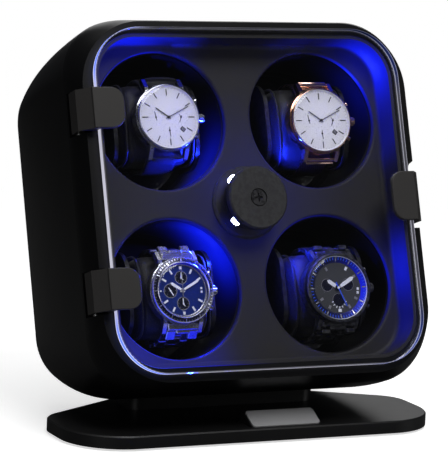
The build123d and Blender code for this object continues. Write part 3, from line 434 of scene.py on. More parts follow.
def prism(bm, pts, d0, d1, mat=0, a=0.0, b=0.0, turn=0.0, soft=0.0):
    """Raised shape on the panel plane: outline pts in (x, y), turned clockwise by turn degrees, from d0 to d1, top edge softened."""
    t = -math.radians(turn)
    ct, st = math.cos(t), math.sin(t)
    n = len(pts)
    cx, cy = sum(p[0] for p in pts) / n, sum(p[1] for p in pts) / n

    def ring(d, inset=0.0):
        out = []
        for x, y in pts:
            ln = max(math.hypot(x - cx, y - cy), 1e-6)
            k = max(0.0, 1 - inset / ln)
            x2, y2 = cx + (x - cx) * k, cy + (y - cy) * k
            out.append(bm.verts.new((a + x2 * ct - y2 * st, b + x2 * st + y2 * ct, d)))
        return out
    rings = [ring(d0), ring(d1 - soft)] + ([ring(d1, soft)] if soft else [])
    ring_faces(bm, rings, mat=mat)
    for loop, rev in ((rings[0], True), (rings[-1], False)):
        f = bm.faces.new(loop[::-1] if rev else loop)
        f.material_index = mat


def tube(bm, path, radius, seg=10, closed=True, mat=0, squash=1.0, up=Vector((0, 0, 1))):
    """Round bar along a path of points."""
    pts = [Vector(p) for p in path]
    n = len(pts)
    rings = []
    for i, p in enumerate(pts):
        if closed:
            t = (pts[(i + 1) % n] - pts[i - 1]).normalized()
        else:
            t = (pts[min(i + 1, n - 1)] - pts[max(i - 1, 0)]).normalized()
        s1 = t.cross(up)
        s1 = s1.normalized() if s1.length > 1e-4 else t.cross(Vector((1, 0, 0))).normalized()
        s2 = s1.cross(t).normalized()
        rings.append([bm.verts.new(p + (s1 * math.cos(q) + s2 * math.sin(q) * squash) * radius)
                      for q in (2 * math.pi * k / seg for k in range(seg))])
    if closed:
        rings.append(rings[0])
    ring_faces(bm, rings, mat=mat)
    if not closed:
        for loop in (rings[0][::-1], rings[-1]):
            bm.faces.new(loop).material_index = mat


def block(bm, c, half, mat=0, frame3=None, soft=0.3):
    """Block with softened edges at c; half sizes along the three directions in frame3."""
    ex, ey, ez = frame3 or (Vector((1, 0, 0)), Vector((0, 1, 0)), Vector((0, 0, 1)))
    c = Vector(c)
    hx, hy, hz = half
    s_ = min(soft, hx * 0.9, hy * 0.9, hz * 0.9)
    rings = []
    for z, k in ((-hz, s_), (-hz + s_, 0.0), (hz - s_, 0.0), (hz, s_)):
        x, y = hx - k, hy - k
        q = min(s_, x, y)
        ring = [(x - q, -y), (x, -y + q), (x, y - q), (x - q, y), (-x + q, y), (-x, y - q), (-x, -y + q), (-x + q, -y)]
        rings.append([bm.verts.new(c + ex * px + ey * py + ez * z) for px, py in ring])
    ring_faces(bm, rings, mat=mat)
    bm.faces.new(rings[0][::-1]).material_index = mat
    bm.faces.new(rings[-1]).material_index = mat


def loop_path(half_b, half_d, r, mid_d, n_corner=10):
    """Rounded rectangle round the cushion in the (b, d) plane, starting at the top front corner and running over the back."""
    out = []
    for cb, cd, t0 in ((half_b - r, mid_d + half_d - r, 90), (half_b - r, mid_d - half_d + r, 0),
                       (-half_b + r, mid_d - half_d + r, -90), (-half_b + r, mid_d + half_d - r, -180)):
        for i in range(n_corner + 1):
            t = math.radians(t0 - 90.0 * i / n_corner)
            out.append((cb + r * math.cos(t), cd + r * math.sin(t)))
    return out


def resample(path, step):
    """Points at even spacing along an open path of (b, d) pairs, with unit tangents."""
    pts = [Vector((p[0], p[1])) for p in path]
    seg = [(q - p).length for p, q in zip(pts, pts[1:])]
    total = sum(seg)
    n = max(2, round(total / step))
    out, k, acc = [], 0, 0.0
    for i in range(n + 1):
        want = total * i / n
        while k < len(seg) - 1 and acc + seg[k] < want:
            acc += seg[k]
            k += 1
        f = (want - acc) / max(seg[k], 1e-9)
        p = pts[k].lerp(pts[k + 1], min(1.0, f))
        out.append((p, want))
    res = []
    for i, (p, w_) in enumerate(out):
        t = (out[min(i + 1, n)][0] - out[max(i - 1, 0)][0]).normalized()
        res.append((p, t, w_))
    return res, total


def make(name, bm, body, mats, replaces=None, smooth=True, angle=35.0, matrix=None, weld=False, bevel=0.0):
    if weld:
        bmesh.ops.remove_doubles(bm, verts=bm.verts[:], dist=1e-4)
    bmesh.ops.recalc_face_normals(bm, faces=bm.faces[:])
    bm.transform(matrix if matrix is not None else BOX)
    data = bpy.data.meshes.new(name)
    bm.to_mesh(data)
    bm.free()
    for mt in mats:
        data.materials.append(MATS[mt])
    if smooth:
        data.polygons.foreach_set("use_smooth", [True] * len(data.polygons))
        data.set_sharp_from_angle(angle=math.radians(angle))
    o = bpy.data.objects.new(name, data)
    bpy.context.scene.collection.objects.link(o)
    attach(o, body)
    if replaces:
        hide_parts(*replaces)
    return o


def bar(w, r0, r1, w1=None):
    w1 = w if w1 is None else w1
    return [(-w / 2, r0), (w / 2, r0), (w1 / 2, r1), (-w1 / 2, r1)]


def disc_pts(r, seg=40, cx=0.0, cy=0.0):
    return [(cx + r * math.cos(2 * math.pi * i / seg), cy + r * math.sin(2 * math.pi * i / seg)) for i in range(seg)]


# ------------------------------------------------------------------
# Watches: dials, hands, bezels, crystals, straps
# ------------------------------------------------------------------
def hand(bm, a, b, turn, length, w, tail, d, mat=0, th=0.18, kind="baton"):
    if kind == "baton":
        pts = [(-w / 2, -tail), (w / 2, -tail), (w * 0.42, length * 0.94), (0.0, length), (-w * 0.42, length * 0.94)]
    else:
        pts = [(-w * 0.22, -tail), (w * 0.22, -tail), (w / 2, length * 0.35), (w / 2, length * 0.86), (0.0, length),
               (-w / 2, length * 0.86), (-w / 2, length * 0.35)]
    prism(bm, pts, d, d + th, mat, a, b, turn, soft=0.05)


def case_facts(k):
    lo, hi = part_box("watch_case_" + k)
    return lo, hi


def dial_watch_white(k, metal, mesh_strap):
    """White three-register dial with thin dark bars."""
    a, b = WATCH[k]
    body = "rotor_" + k
    d0 = DIAL_D[k]
    rd = DIAL_R[k]
    MATS["dial_" + k] = sunburst("dial_" + k, (0.93, 0.92, 0.93), P(a, b, 0), rough=0.46, metallic=0.0, contrast=0.03)
    bm = bmesh.new()
    lathe(bm, [(0, d0 + 0.02), (rd - 0.05, d0 + 0.02), (rd - 0.05, d0 + 0.38), (rd - 0.9, d0 + 0.45), (0, d0 + 0.45)], a, b, 128)
    for t, r in ((90, 8.0), (270, 8.0), (180, 8.0)):
        sa, sb = a + r * math.sin(math.radians(t)), b + r * math.cos(math.radians(t))
        lathe(bm, [(4.6, d0 + 0.44), (4.75, d0 + 0.52), (5.0, d0 + 0.52), (5.1, d0 + 0.44)], sa, sb, 64)
        for q in (1.6, 2.6, 3.6):
            lathe(bm, [(q, d0 + 0.44), (q + 0.05, d0 + 0.48), (q + 0.18, d0 + 0.48), (q + 0.22, d0 + 0.44)], sa, sb, 48)
    make("dial_plate_" + k, bm, body, ["dial_" + k])
    # sloping inner ring
    bm = bmesh.new()
    lathe(bm, [(rd - 0.9, d0 + 0.45), (rd - 0.05, d0 + 1.75), (rd - 0.05, d0 + 0.45)], a, b, 128)
    make("inner_ring_" + k, bm, body, ["dial_" + k])
    # bars and ticks
    bm = bmesh.new()
    top = d0 + 0.45
    for h in range(12):
        prism(bm, bar(0.55, rd - 5.9, rd - 2.1), top - 0.02, top + 0.22, 0, a, b, 30 * h, 0.08)
    for q in range(60):
        if q % 5:
            prism(bm, bar(0.16, rd - 1.75, rd - 1.0), top - 0.02, top + 0.06, 1, a, b, 6 * q)
    for t, r, turns in ((90, 8.0, (200, 330)), (270, 8.0, (350, 170)), (180, 8.0, (175, 5))):
        sa, sb = a + r * math.sin(math.radians(t)), b + r * math.cos(math.radians(t))
        for q in range(12):
            prism(bm, bar(0.16, 3.9, 4.5), top - 0.02, top + 0.08, 1, sa, sb, 30 * q)
        hand(bm, sa, sb, turns[0], 3.6, 0.45, 1.0, top + 0.12, 0, 0.12)
        hand(bm, sa, sb, turns[1], 2.2, 0.35, 0.5, top + 0.10, 0, 0.12)
        prism(bm, disc_pts(0.55, 20), top, top + 0.34, 0, sa, sb)
    # date window, turned to four thirty
    da, db = a + 11.2 * math.sin(math.radians(130)), b + 11.2 * math.cos(math.radians(130))
    frame_pts = [(-1.5, -1.25), (1.5, -1.25), (1.5, 1.25), (-1.5, 1.25)]
    prism(bm, frame_pts, top - 0.02, top + 0.16, 0, da, db, 130 - 90, 0.05)
    prism(bm, [(x * 0.62, y * 0.62) for x, y in frame_pts], top + 0.10, top + 0.18, 1, da, db, 130 - 90)
    prism(bm, bar(0.35, -0.45, 0.45), top + 0.16, top + 0.22, 0, da, db, 130 - 90)
    # hour and minute hands
    hand(bm, a, b, 305, 9.8, 0.62, 1.6, top + 0.50, 0, 0.16)
    hand(bm, a, b, 64, 14.8, 0.50, 2.0, top + 0.72, 0, 0.16)
    prism(bm, disc_pts(0.8, 28), top, top + 1.05, 0, a, b, 0, 0.15)
    make("markers_" + k, bm, body, ["dark_mark", "grey_mark"], smooth=False)
    crystal(k, rd + 0.35, TOP_D[k] - 0.35, 1.5)


def crystal(k, r, d, dome):
    """Domed glass with a bevelled rim."""
    a, b = WATCH[k]
    bm = bmesh.new()
    out = [(0, d)] + [(r, d), (r, d + 0.35), (r - 0.35, d + 0.6)]
    for i in range(1, 9):
        t = i / 8
        rr = (r - 0.35) * (1 - t)
        out.append((rr, d + 0.6 + (dome - 0.6) * (1 - (rr / (r - 0.35)) ** 2)))
    out[-1] = (0, out[-1][1])
    lathe(bm, out, a, b, 128)
    make("crystal_" + k, bm, "rotor_" + k, ["crystal"])


def crown_detail(k, metal, r=2.75):
    """Fluting round the crown."""
    a, b = WATCH[k]
    lo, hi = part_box("watch_case_" + k)
    tip = (hi - MID).dot(AA) * 1000 - 0.0
    rc = CASE_R[k]
    d = CASE_D0 + 4.6
    bm = bmesh.new()
    n = 22
    x0, x1 = a + rc + 0.7, a + rc + 3.45
    pts = []
    for i in range(n * 2):
        t = math.pi * i / n
        rr = r if i % 2 == 0 else r - 0.22
        pts.append((rr * math.cos(t), rr * math.sin(t)))
    rings = []
    for x, s_ in ((x0, 0.9), (x0 + 0.3, 1.0), (x1 - 0.4, 1.0), (x1, 0.86)):
        rings.append([bm.verts.new((x, b + p * s_, d + q * s_)) for p, q in pts])
    ring_faces(bm, rings)
    bm.faces.new(rings[0][::-1])
    bm.faces.new(rings[-1])
    make("crown_ring_" + k, bm, "rotor_" + k, [metal], smooth=False)


CASE_R = {}
CASE_D0 = None
for k in NAMES:
    a, b = WATCH[k]
    co = np.array([v.co for v in nodes["watch_case_" + k].data.vertices], float)
    rel = (co - np.array(MID)) * 1000
    aa, bb, dd = rel @ np.array(AA) - a, rel @ np.array(AU) - b, rel @ np.array(AN)
    top = dd.max()
    ring = (dd > top - 2.0) & (np.abs(np.hypot(aa, bb)) > 10) & (aa < 0) & (np.abs(bb) < 8)
    CASE_R[k] = float(np.hypot(aa, bb)[(aa < 0) & (np.abs(bb) < 6)].max())
    if CASE_D0 is None:
        CASE_D0 = float(dd[np.hypot(aa, bb) < CASE_R[k] - 1].min())
TOP_D = {k: CASE_D0 + 10.2 for k in NAMES}
DIAL_D, DIAL_R = {}, {}
for k in NAMES:
    a, b = WATCH[k]
    co = np.array([v.co for v in nodes["watch_case_" + k].data.vertices], float)
    rel = (co - np.array(MID)) * 1000
    rr = np.hypot(rel @ np.array(AA) - a, rel @ np.array(AU) - b)
    dd = rel @ np.array(AN)
    floor_ = dd[(dd > CASE_D0 + 8.0) & (dd < CASE_D0 + 8.6)]
    DIAL_D[k] = float(np.median(floor_)) if len(floor_) else CASE_D0 + 8.3
    near = rr[np.abs(dd - DIAL_D[k]) < 0.02]
    DIAL_R[k] = float(near.max()) if len(near) else CASE_R[k] - 2.2
print("case r", CASE_R, "case d0", CASE_D0, "dial d", DIAL_D, "dial r", DIAL_R)


def steel_watch(k):
    """Blue dial with three registers, dark ring with silver marks, white batons."""
    a, b = WATCH[k]
    body = "rotor_" + k
    d0, rc = DIAL_D[k], CASE_R[k]
    rd = DIAL_R[k]
    vis = rd - 2.6
    MATS["dial_" + k] = sunburst("dial_" + k, (0.016, 0.045, 0.30), P(a, b, 0), rough=0.3, metallic=0.55, contrast=0.35)
    bm = bmesh.new()
    lathe(bm, [(0, d0 + 0.02), (rd - 0.05, d0 + 0.02), (rd - 0.05, d0 + 0.45), (0, d0 + 0.45)], a, b, 128)
    make("dial_plate_" + k, bm, body, ["dial_" + k])
    top = d0 + 0.45
    subs = ((0, 7.6, 3.6, (5, 140)), (270, 7.4, 3.9, (150, 330)), (180, 7.6, 3.6, (0, 150)))
    bm = bmesh.new()
    for t, r, sr, turns in subs:
        sa, sb = a + r * math.sin(math.radians(t)), b + r * math.cos(math.radians(t))
        lathe(bm, [(0, top - 0.01), (sr, top - 0.01), (sr, top + 0.03), (0, top + 0.03)], sa, sb, 48, 0)
        lathe(bm, [(sr - 0.1, top + 0.02), (sr, top + 0.14), (sr + 0.26, top + 0.14), (sr + 0.36, top + 0.0)], sa, sb, 56, 1)
        for q in range(8):
            prism(bm, bar(0.22, sr - 1.1, sr - 0.45), top + 0.02, top + 0.10, 1, sa, sb, 45 * q)
        hand(bm, sa, sb, turns[0], sr - 0.6, 0.6, 0.9, top + 0.16, 2, 0.12)
        hand(bm, sa, sb, turns[1], sr - 1.6, 0.5, 0.5, top + 0.13, 2, 0.12)
        prism(bm, disc_pts(0.5, 20), top, top + 0.34, 2, sa, sb)
    # white batons, short where a register sits
    for h in range(12):
        if h in (0, 6):
            prism(bm, bar(1.5, vis - 2.6, vis - 0.9), top - 0.02, top + 0.35, 2, a, b, 30 * h, 0.1)
        elif h == 9:
            prism(bm, bar(0.8, vis - 1.9, vis - 0.9), top - 0.02, top + 0.3, 2, a, b, 30 * h, 0.1)
        elif h == 3:
            for off in (-1.0, 1.1):
                prism(bm, [(off - 0.6, vis - 3.4), (off + 0.6, vis - 3.4), (off + 0.6, vis - 2.2), (off - 0.6, vis - 2.2)], top - 0.02,
                      top + 0.2, 2, a, b, 90)
        else:
            prism(bm, bar(1.15, vis - 3.9, vis - 0.9), top - 0.02, top + 0.35, 2, a, b, 30 * h, 0.12)
    for q in range(60):
        prism(bm, bar(0.16, vis - 0.75, vis - 0.1), top - 0.02, top + 0.08, 1, a, b, 6 * q)
    hand(bm, a, b, 303, 8.6, 1.7, 1.6, top + 0.50, 2, 0.2, "sword")
    hand(bm, a, b, 62, 12.6, 1.45, 1.8, top + 0.78, 2, 0.2, "sword")
    hand(bm, a, b, 2, 13.0, 0.35, 3.4, top + 1.02, 1, 0.12)
    prism(bm, disc_pts(1.15, 28), top, top + 1.25, 1, a, b, 0, 0.15)
    make("markers_" + k, bm, body, ["bezel_ink", "silver_mark", "glowing_white"], smooth=False)
    # sloping blue ring with silver step, then the marked ring on the case
    bm = bmesh.new()
    lathe(bm, [(vis, top), (vis + 0.15, top + 0.45), (rd - 0.05, d0 + 1.9), (rd - 0.05, top)], a, b, 128, 0)
    lathe(bm, [(vis - 0.2, top - 0.02), (vis - 0.2, top + 0.3), (vis + 0.25, top + 0.5), (vis + 0.3, top - 0.02)], a, b, 128, 1)
    make("inner_ring_" + k, bm, body, ["bezel_blue", "silver_mark"])
    z = TOP_D[k]
    bm = bmesh.new()
    lathe(bm, [(rd - 1.5, z - 0.4), (rd - 1.5, z + 0.5), (rd - 1.2, z + 1.15), (rc - 1.1, z + 0.35), (rc - 0.7, z - 0.4)], a, b, 160, 0)
    lathe(bm, [(rd - 1.75, z + 0.2), (rd - 1.75, z + 1.2), (rd - 1.45, z + 1.4), (rd - 1.1, z + 1.15), (rd - 1.1, z + 0.2)], a, b, 160, 1)
    lathe(bm, [(rc - 1.2, z - 0.3), (rc - 1.2, z + 0.4), (rc - 0.75, z + 0.45), (rc - 0.35, z - 0.15), (rc - 0.35, z - 0.6)], a, b, 160, 1)
    make("bezel_" + k, bm, body, ["bezel_ink", "silver_mark"])
    bm = bmesh.new()
    for q in range(60):
        big = q % 5 == 0
        r0, r1 = (rd - 0.75, rc - 1.35) if big else (rc - 2.1, rc - 1.35)
        f0, f1 = (r0 - (rd - 1.2)) / (rc - 1.1 - (rd - 1.2)), (r1 - (rd - 1.2)) / (rc - 1.1 - (rd - 1.2))
        h0, h1 = z + 1.15 - 0.8 * f0, z + 1.15 - 0.8 * f1
        w_ = 0.62 if big else 0.28
        t = -math.radians(6 * q)
        quad = []
        for x, y, h in ((-w_ / 2, r0, h0), (w_ / 2, r0, h0), (w_ / 2, r1, h1), (-w_ / 2, r1, h1)):
            quad.append((a + x * math.cos(t) - y * math.sin(t), b + x * math.sin(t) + y * math.cos(t), h))
        lo_ = [bm.verts.new((x, y, h - 0.12)) for x, y, h in quad]
        hi_ = [bm.verts.new((x, y, h + 0.07)) for x, y, h in quad]
        ring_faces(bm, [lo_, hi_])
        bm.faces.new(lo_[::-1])
        bm.faces.new(hi_)
    make("bezel_marks_" + k, bm, body, ["silver_mark"], smooth=False)
    crystal(k, rd - 1.8, z + 0.25, 1.3)
    crown_detail(k, "steel_case", 2.9)


def black_watch(k):
    """Dark grey dial with black registers, bright ring and thick white hands."""
    a, b = WATCH[k]
    body = "rotor_" + k
    d0, rc = DIAL_D[k], CASE_R[k]
    rd = DIAL_R[k]
    z = TOP_D[k]
    vis = rd - 4.0
    MATS["dial_" + k] = sunburst("dial_" + k, (0.050, 0.052, 0.058), P(a, b, 0), rough=0.5, metallic=0.2, contrast=0.15)
    bm = bmesh.new()
    lathe(bm, [(0, d0 + 0.02), (rd - 0.05, d0 + 0.02), (rd - 0.05, d0 + 0.45), (0, d0 + 0.45)], a, b, 128)
    make("dial_plate_" + k, bm, body, ["dial_" + k])
    top = d0 + 0.45
    bm = bmesh.new()
    for t, r, sr in ((285, 7.2, 3.6), (75, 7.2, 3.6), (180, 7.4, 4.0)):
        sa, sb = a + r * math.sin(math.radians(t)), b + r * math.cos(math.radians(t))
        lathe(bm, [(0, top - 0.01), (sr, top - 0.01), (sr, top + 0.03), (0, top + 0.03)], sa, sb, 48, 0)
        lathe(bm, [(sr - 0.05, top + 0.02), (sr, top + 0.08), (sr + 0.16, top + 0.08), (sr + 0.2, top)], sa, sb, 56, 3)
        if t == 180:
            for q in range(-3, 4):
                prism(bm, bar(0.5, sr - 0.2, sr + 1.0), top - 0.02, top + 0.2, 2, sa, sb, 180 + 26 * q)
    for h in (1, 2, 4, 5, 7, 8, 11):
        prism(bm, bar(1.5, vis - 3.4, vis - 1.2), top - 0.02, top + 0.32, 4 if h != 1 else 2, a, b, 30 * h, 0.15)
    prism(bm, bar(2.2, vis - 2.7, vis - 0.9), top - 0.02, top + 0.32, 2, a, b, 180, 0.15)
    for off in (-1.0, 1.3):
        prism(bm, [(off - 0.75, vis - 2.8), (off + 0.75, vis - 2.8), (off + 0.75, vis - 1.4), (off - 0.75, vis - 1.4)], top - 0.02,
              top + 0.25, 2, a, b, 98)
    hand(bm, a, b, 305, 8.2, 2.3, 0.4, top + 0.50, 2, 0.22, "sword")
    hand(bm, a, b, 60, 12.4, 2.3, 0.4, top + 0.78, 2, 0.22, "sword")
    prism(bm, disc_pts(1.9, 28), top, top + 1.0, 0, a, b, 0, 0.15)
    hand(bm, a, b, 158, 12.4, 0.75, 3.6, top + 1.05, 5, 0.14)
    prism(bm, disc_pts(0.75, 24), top + 1.0, top + 1.32, 2, a, b, 0, 0.1)
    make("markers_" + k, bm, body, ["bezel_ink", "silver_mark", "glowing_white", "grey_mark", "grey_mark", "blue_mark"], smooth=False)
    # sloping track: dark with light ticks, then the bright ring at its foot
    bm = bmesh.new()
    lathe(bm, [(vis - 0.1, top - 0.02), (vis, top + 0.25), (rd - 0.7, d0 + 1.5), (rd - 0.05, d0 + 1.6), (rd - 0.05, top)], a, b, 128, 0)
    lathe(bm, [(rd - 0.75, d0 + 1.4), (rd - 0.6, d0 + 1.72), (rd - 0.15, d0 + 1.78), (rd - 0.1, d0 + 1.4)], a, b, 128, 1)
    make("inner_ring_" + k, bm, body, ["bezel_blue", "glowing_white"])
    bm = bmesh.new()
    for q in range(60):
        big = q % 5 == 0
        r0, r1 = (vis + 0.5, rd - 1.0) if big else (vis + 1.4, rd - 1.0)
        t = -math.radians(6 * q)
        w_ = 0.75 if big else 0.42
        quad = []
        for x, y in ((-w_ / 2, r0), (w_ / 2, r0), (w_ / 2, r1), (-w_ / 2, r1)):
            h = top + 0.25 + (d0 + 1.5 - top - 0.25) * (y - vis) / (rd - 0.7 - vis)
            quad.append((a + x * math.cos(t) - y * math.sin(t), b + x * math.sin(t) + y * math.cos(t), h))
        lo_ = [bm.verts.new((x, y, h - 0.1)) for x, y, h in quad]
        hi_ = [bm.verts.new((x, y, h + 0.07)) for x, y, h in quad]
        for f in (hi_, lo_[::-1]):
            bm.faces.new(f).material_index = 0 if big else 1
        ring_faces(bm, [lo_, hi_], mat=0 if big else 1)
    make("track_marks_" + k, bm, body, ["silver_mark", "blue_mark"], smooth=False)
    bm = bmesh.new()
    lathe(bm, [(rd - 0.4, z - 0.4), (rd - 0.4, z + 0.25), (rd - 0.1, z + 0.75), (rc - 1.6, z + 0.75), (rc - 0.7, z + 0.1), (rc - 0.7, z - 0.6)],
          a, b, 160, 0)
    make("bezel_" + k, bm, body, ["black_case"])
    crystal(k, rd - 0.5, z + 0.0, 1.1)
    crown_detail(k, "black_case", 3.1)


def strap_band(k, width, thick_end, thick_mid, body, mat, taper=1.5, stitch=True, step=1.1):
    """Padded strap from lug to lug round the cushion, with rounded edges and stitching."""
    a, b = WATCH[k]
    half_b, half_d, r, mid_d = LOOP[k]
    path = loop_path(half_b, half_d, r, mid_d, 14)
    path = [(22.4, CASE_D0 + 1.6), (23.6, CASE_D0 + 0.5)] + [p for p in path[3:-3]] + [(-23.6, CASE_D0 + 0.5), (-22.4, CASE_D0 + 1.6)]
    pts, total = resample(path, step)
    bm = bmesh.new()
    rings = []
    info = []
    for p, t, w_ in pts:
        f = min(w_, total - w_) / (total / 2)
        e = min(1.0, f / 0.22)
        th = thick_end * (1 - e) + thick_mid * e
        hw = (width - taper * min(1.0, f / 0.8)) / 2
        nrm = Vector((-t[1], t[0]))   # outward on the way over the top and back
        if nrm.dot(p - Vector((0, mid_d))) < 0:
            nrm = -nrm
        sec = [(-hw, -0.10), (-hw, 0.40), (-hw + 0.35, 0.66), (-hw + 1.5, 0.82), (-hw * 0.45, 1.0), (0, 1.05), (hw * 0.45, 1.0), (hw - 1.5, 0.82),
               (hw - 0.35, 0.66), (hw, 0.40), (hw, -0.10), (hw - 0.3, -0.28), (0, -0.30), (-hw + 0.3, -0.28)]
        ring = []
        for x, h in sec:
            q = p + nrm * (h * th * 0.75)
            ring.append(bm.verts.new((a + x, b + q[0], q[1])))
        rings.append(ring)
        info.append((p, nrm, hw, th))
    ring_faces(bm, rings)
    bm.faces.new(rings[0][::-1])
    bm.faces.new(rings[-1])
    if stitch:
        for sgn in (-1, 1):
            i = 2
            while i < len(info) - 4:
                p, nrm, hw, th = info[i]
                p2, n2, hw2, th2 = info[i + 1]
                s0 = p + nrm * (0.72 * th * 0.75 + 0.1)
                s1 = p2 + n2 * (0.72 * th2 * 0.75 + 0.1)
                m0 = (s0 + s1) / 2 + nrm * 0.16
                x0, x1 = a + sgn * (hw - 1.6), a + sgn * (hw2 - 1.6)
                tube(bm, [(x0, b + s0[0], s0[1]), ((x0 + x1) / 2, b + m0[0], m0[1]), (x1, b + s1[0], s1[1])], 0.2, 6, False, 1, up=Vector((1, 0, 0)))
                i += 2
    return make("watch_band_" + k, bm, body, [mat, "thread"], replaces=["watch_strap_" + k], angle=50)


def strap_mesh(k, width, body):
    """Woven metal band with polished bars at the case."""
    a, b = WATCH[k]
    half_b, half_d, r, mid_d = LOOP[k]
    path = loop_path(half_b, half_d, r, mid_d, 14)
    path = [(22.6, CASE_D0 + 1.4), (24.0, CASE_D0 + 0.2)] + [p for p in path[4:-4]] + [(-24.0, CASE_D0 + 0.2), (-22.6, CASE_D0 + 1.4)]
    pts, total = resample(path, 0.9)
    bm = bmesh.new()
    rings = []
    for i, (p, t, w_) in enumerate(pts):
        nrm = Vector((-t[1], t[0]))
        if nrm.dot(p - Vector((0, mid_d))) < 0:
            nrm = -nrm
        hw = width / 2 - 0.1
        rip = 0.07 if i % 2 else -0.02
        sec = [(-hw, 0.0), (-hw, 0.9), (-hw + 0.3, 1.2), (-hw + 0.6, 1.2 + rip), (hw - 0.6, 1.2 + rip), (hw - 0.3, 1.2), (hw, 0.9), (hw, 0.0), (hw - 0.3, -0.3),
               (-hw + 0.3, -0.3)]
        rings.append([bm.verts.new((a + x, b + (p + nrm * h)[0], (p + nrm * h)[1])) for x, h in sec])
    ring_faces(bm, rings)
    bm.faces.new(rings[0][::-1])
    bm.faces.new(rings[-1])
    for sgn in (-1, 1):
        tube(bm, [(a - width / 2, b + sgn * 22.6, CASE_D0 + 2.1), (a + width / 2, b + sgn * 22.6, CASE_D0 + 2.1)], 1.15, 20, False, 1)
        block(bm, (a, b + sgn * 24.2, CASE_D0 + 0.9), (width / 2, 1.0, 0.8), 1, soft=0.3)
    return make("watch_band_" + k, bm, body, ["strap_rose", "rose"], replaces=["watch_strap_" + k], angle=40)


def bracelet(k, width, body, mat, pitch=6.4, centre=0.42, taper=3.0):
    """Three-row link bracelet: rows of separate softened links, the middle ones set half a pitch on."""
    a, b = WATCH[k]
    half_b, half_d, r, mid_d = LOOP[k]
    path = loop_path(half_b, half_d, r, mid_d, 16)
    path = [(21.6, CASE_D0 + 3.2), (24.4, CASE_D0 + 0.9)] + [p for p in path[4:-4]] + [(-24.4, CASE_D0 + 0.9), (-21.6, CASE_D0 + 3.2)]
    pts, total = resample(path, 0.4)
    n = round(total / pitch)
    step = total / n
    bm = bmesh.new()

    def at(w_):
        i = min(len(pts) - 1, max(0, round(w_ / total * (len(pts) - 1))))
        p, t, _ = pts[i]
        nrm = Vector((-t[1], t[0]))
        if nrm.dot(p - Vector((0, mid_d))) < 0:
            nrm = -nrm
        return p, t, nrm
    for i in range(n):
        w0 = (i + 0.5) * step
        p, t, nrm = at(w0)
        f = min(w0, total - w0) / (total / 2)
        wd = width - taper * min(1.0, f / 0.9)
        cw = wd * centre / 2
        ow = (wd / 2 - cw) / 2
        ey = Vector((0, t[0], t[1]))
        ez = Vector((0, nrm[0], nrm[1]))
        ex = Vector((1, 0, 0))
        for sgn in (-1, 1):
            c_ = Vector((a + sgn * (cw + ow), b + p[0], p[1])) + ez * 0.6
            block(bm, c_, (ow - 0.06, step / 2 - 0.12, 1.25), 0, (ex, ey, ez), 0.35)
        p, t, nrm = at(min(total, w0 + step / 2))
        ey = Vector((0, t[0], t[1]))
        ez = Vector((0, nrm[0], nrm[1]))
        if i < n - 1:
            c_ = Vector((a, b + p[0], p[1])) + ez * 0.75
            block(bm, c_, (cw - 0.06, step / 2 - 0.12, 1.35), 1, (ex, ey, ez), 0.4)
    # solid end pieces between the lugs
    for sgn in (-1, 1):
        block(bm, (a, b + sgn * 20.6, CASE_D0 + 4.2), (width / 2 - 0.3, 2.0, 2.0), 0, soft=0.5)
        block(bm, (a, b + sgn * 22.9, CASE_D0 + 3.4), (width * centre / 2, 1.6, 1.5), 1, soft=0.5)
    return make("watch_band_" + k, bm, body, [mat, mat], replaces=["watch_strap_" + k], smooth=True, angle=25)


LOOP = {}
for k in NAMES:
    a, b = WATCH[k]
    co = np.array([v.co for v in nodes["watch_strap_" + k].data.vertices], float)
    rel = (co - np.array(MID)) * 1000
    bb, dd = rel @ np.array(AU) - b, rel @ np.array(AN)
    hb, hd, md = (bb.max() - bb.min()) / 2, (dd.max() - dd.min()) / 2, (dd.max() + dd.min()) / 2
    LOOP[k] = (float(hb) - 1.7, float(hd) - 1.7, 17.4, float(md))

dial_watch_white("upper_left", "silver", False)
dial_watch_white("upper_right", "rose", True)
steel_watch("lower_left")
black_watch("lower_right")
crown_detail("upper_left", "silver", 2.75)
crown_detail("upper_right", "rose", 2.75)
strap_band("upper_left", 20.0, 3.4, 2.2, "rotor_upper_left", "strap_leather")
strap_mesh("upper_right", 18.0, "rotor_upper_right")
bracelet("lower_left", 20.0, "rotor_lower_left", "link")
bracelet("lower_right", 22.0, "rotor_lower_right", "black_link", pitch=7.4, centre=0.5)


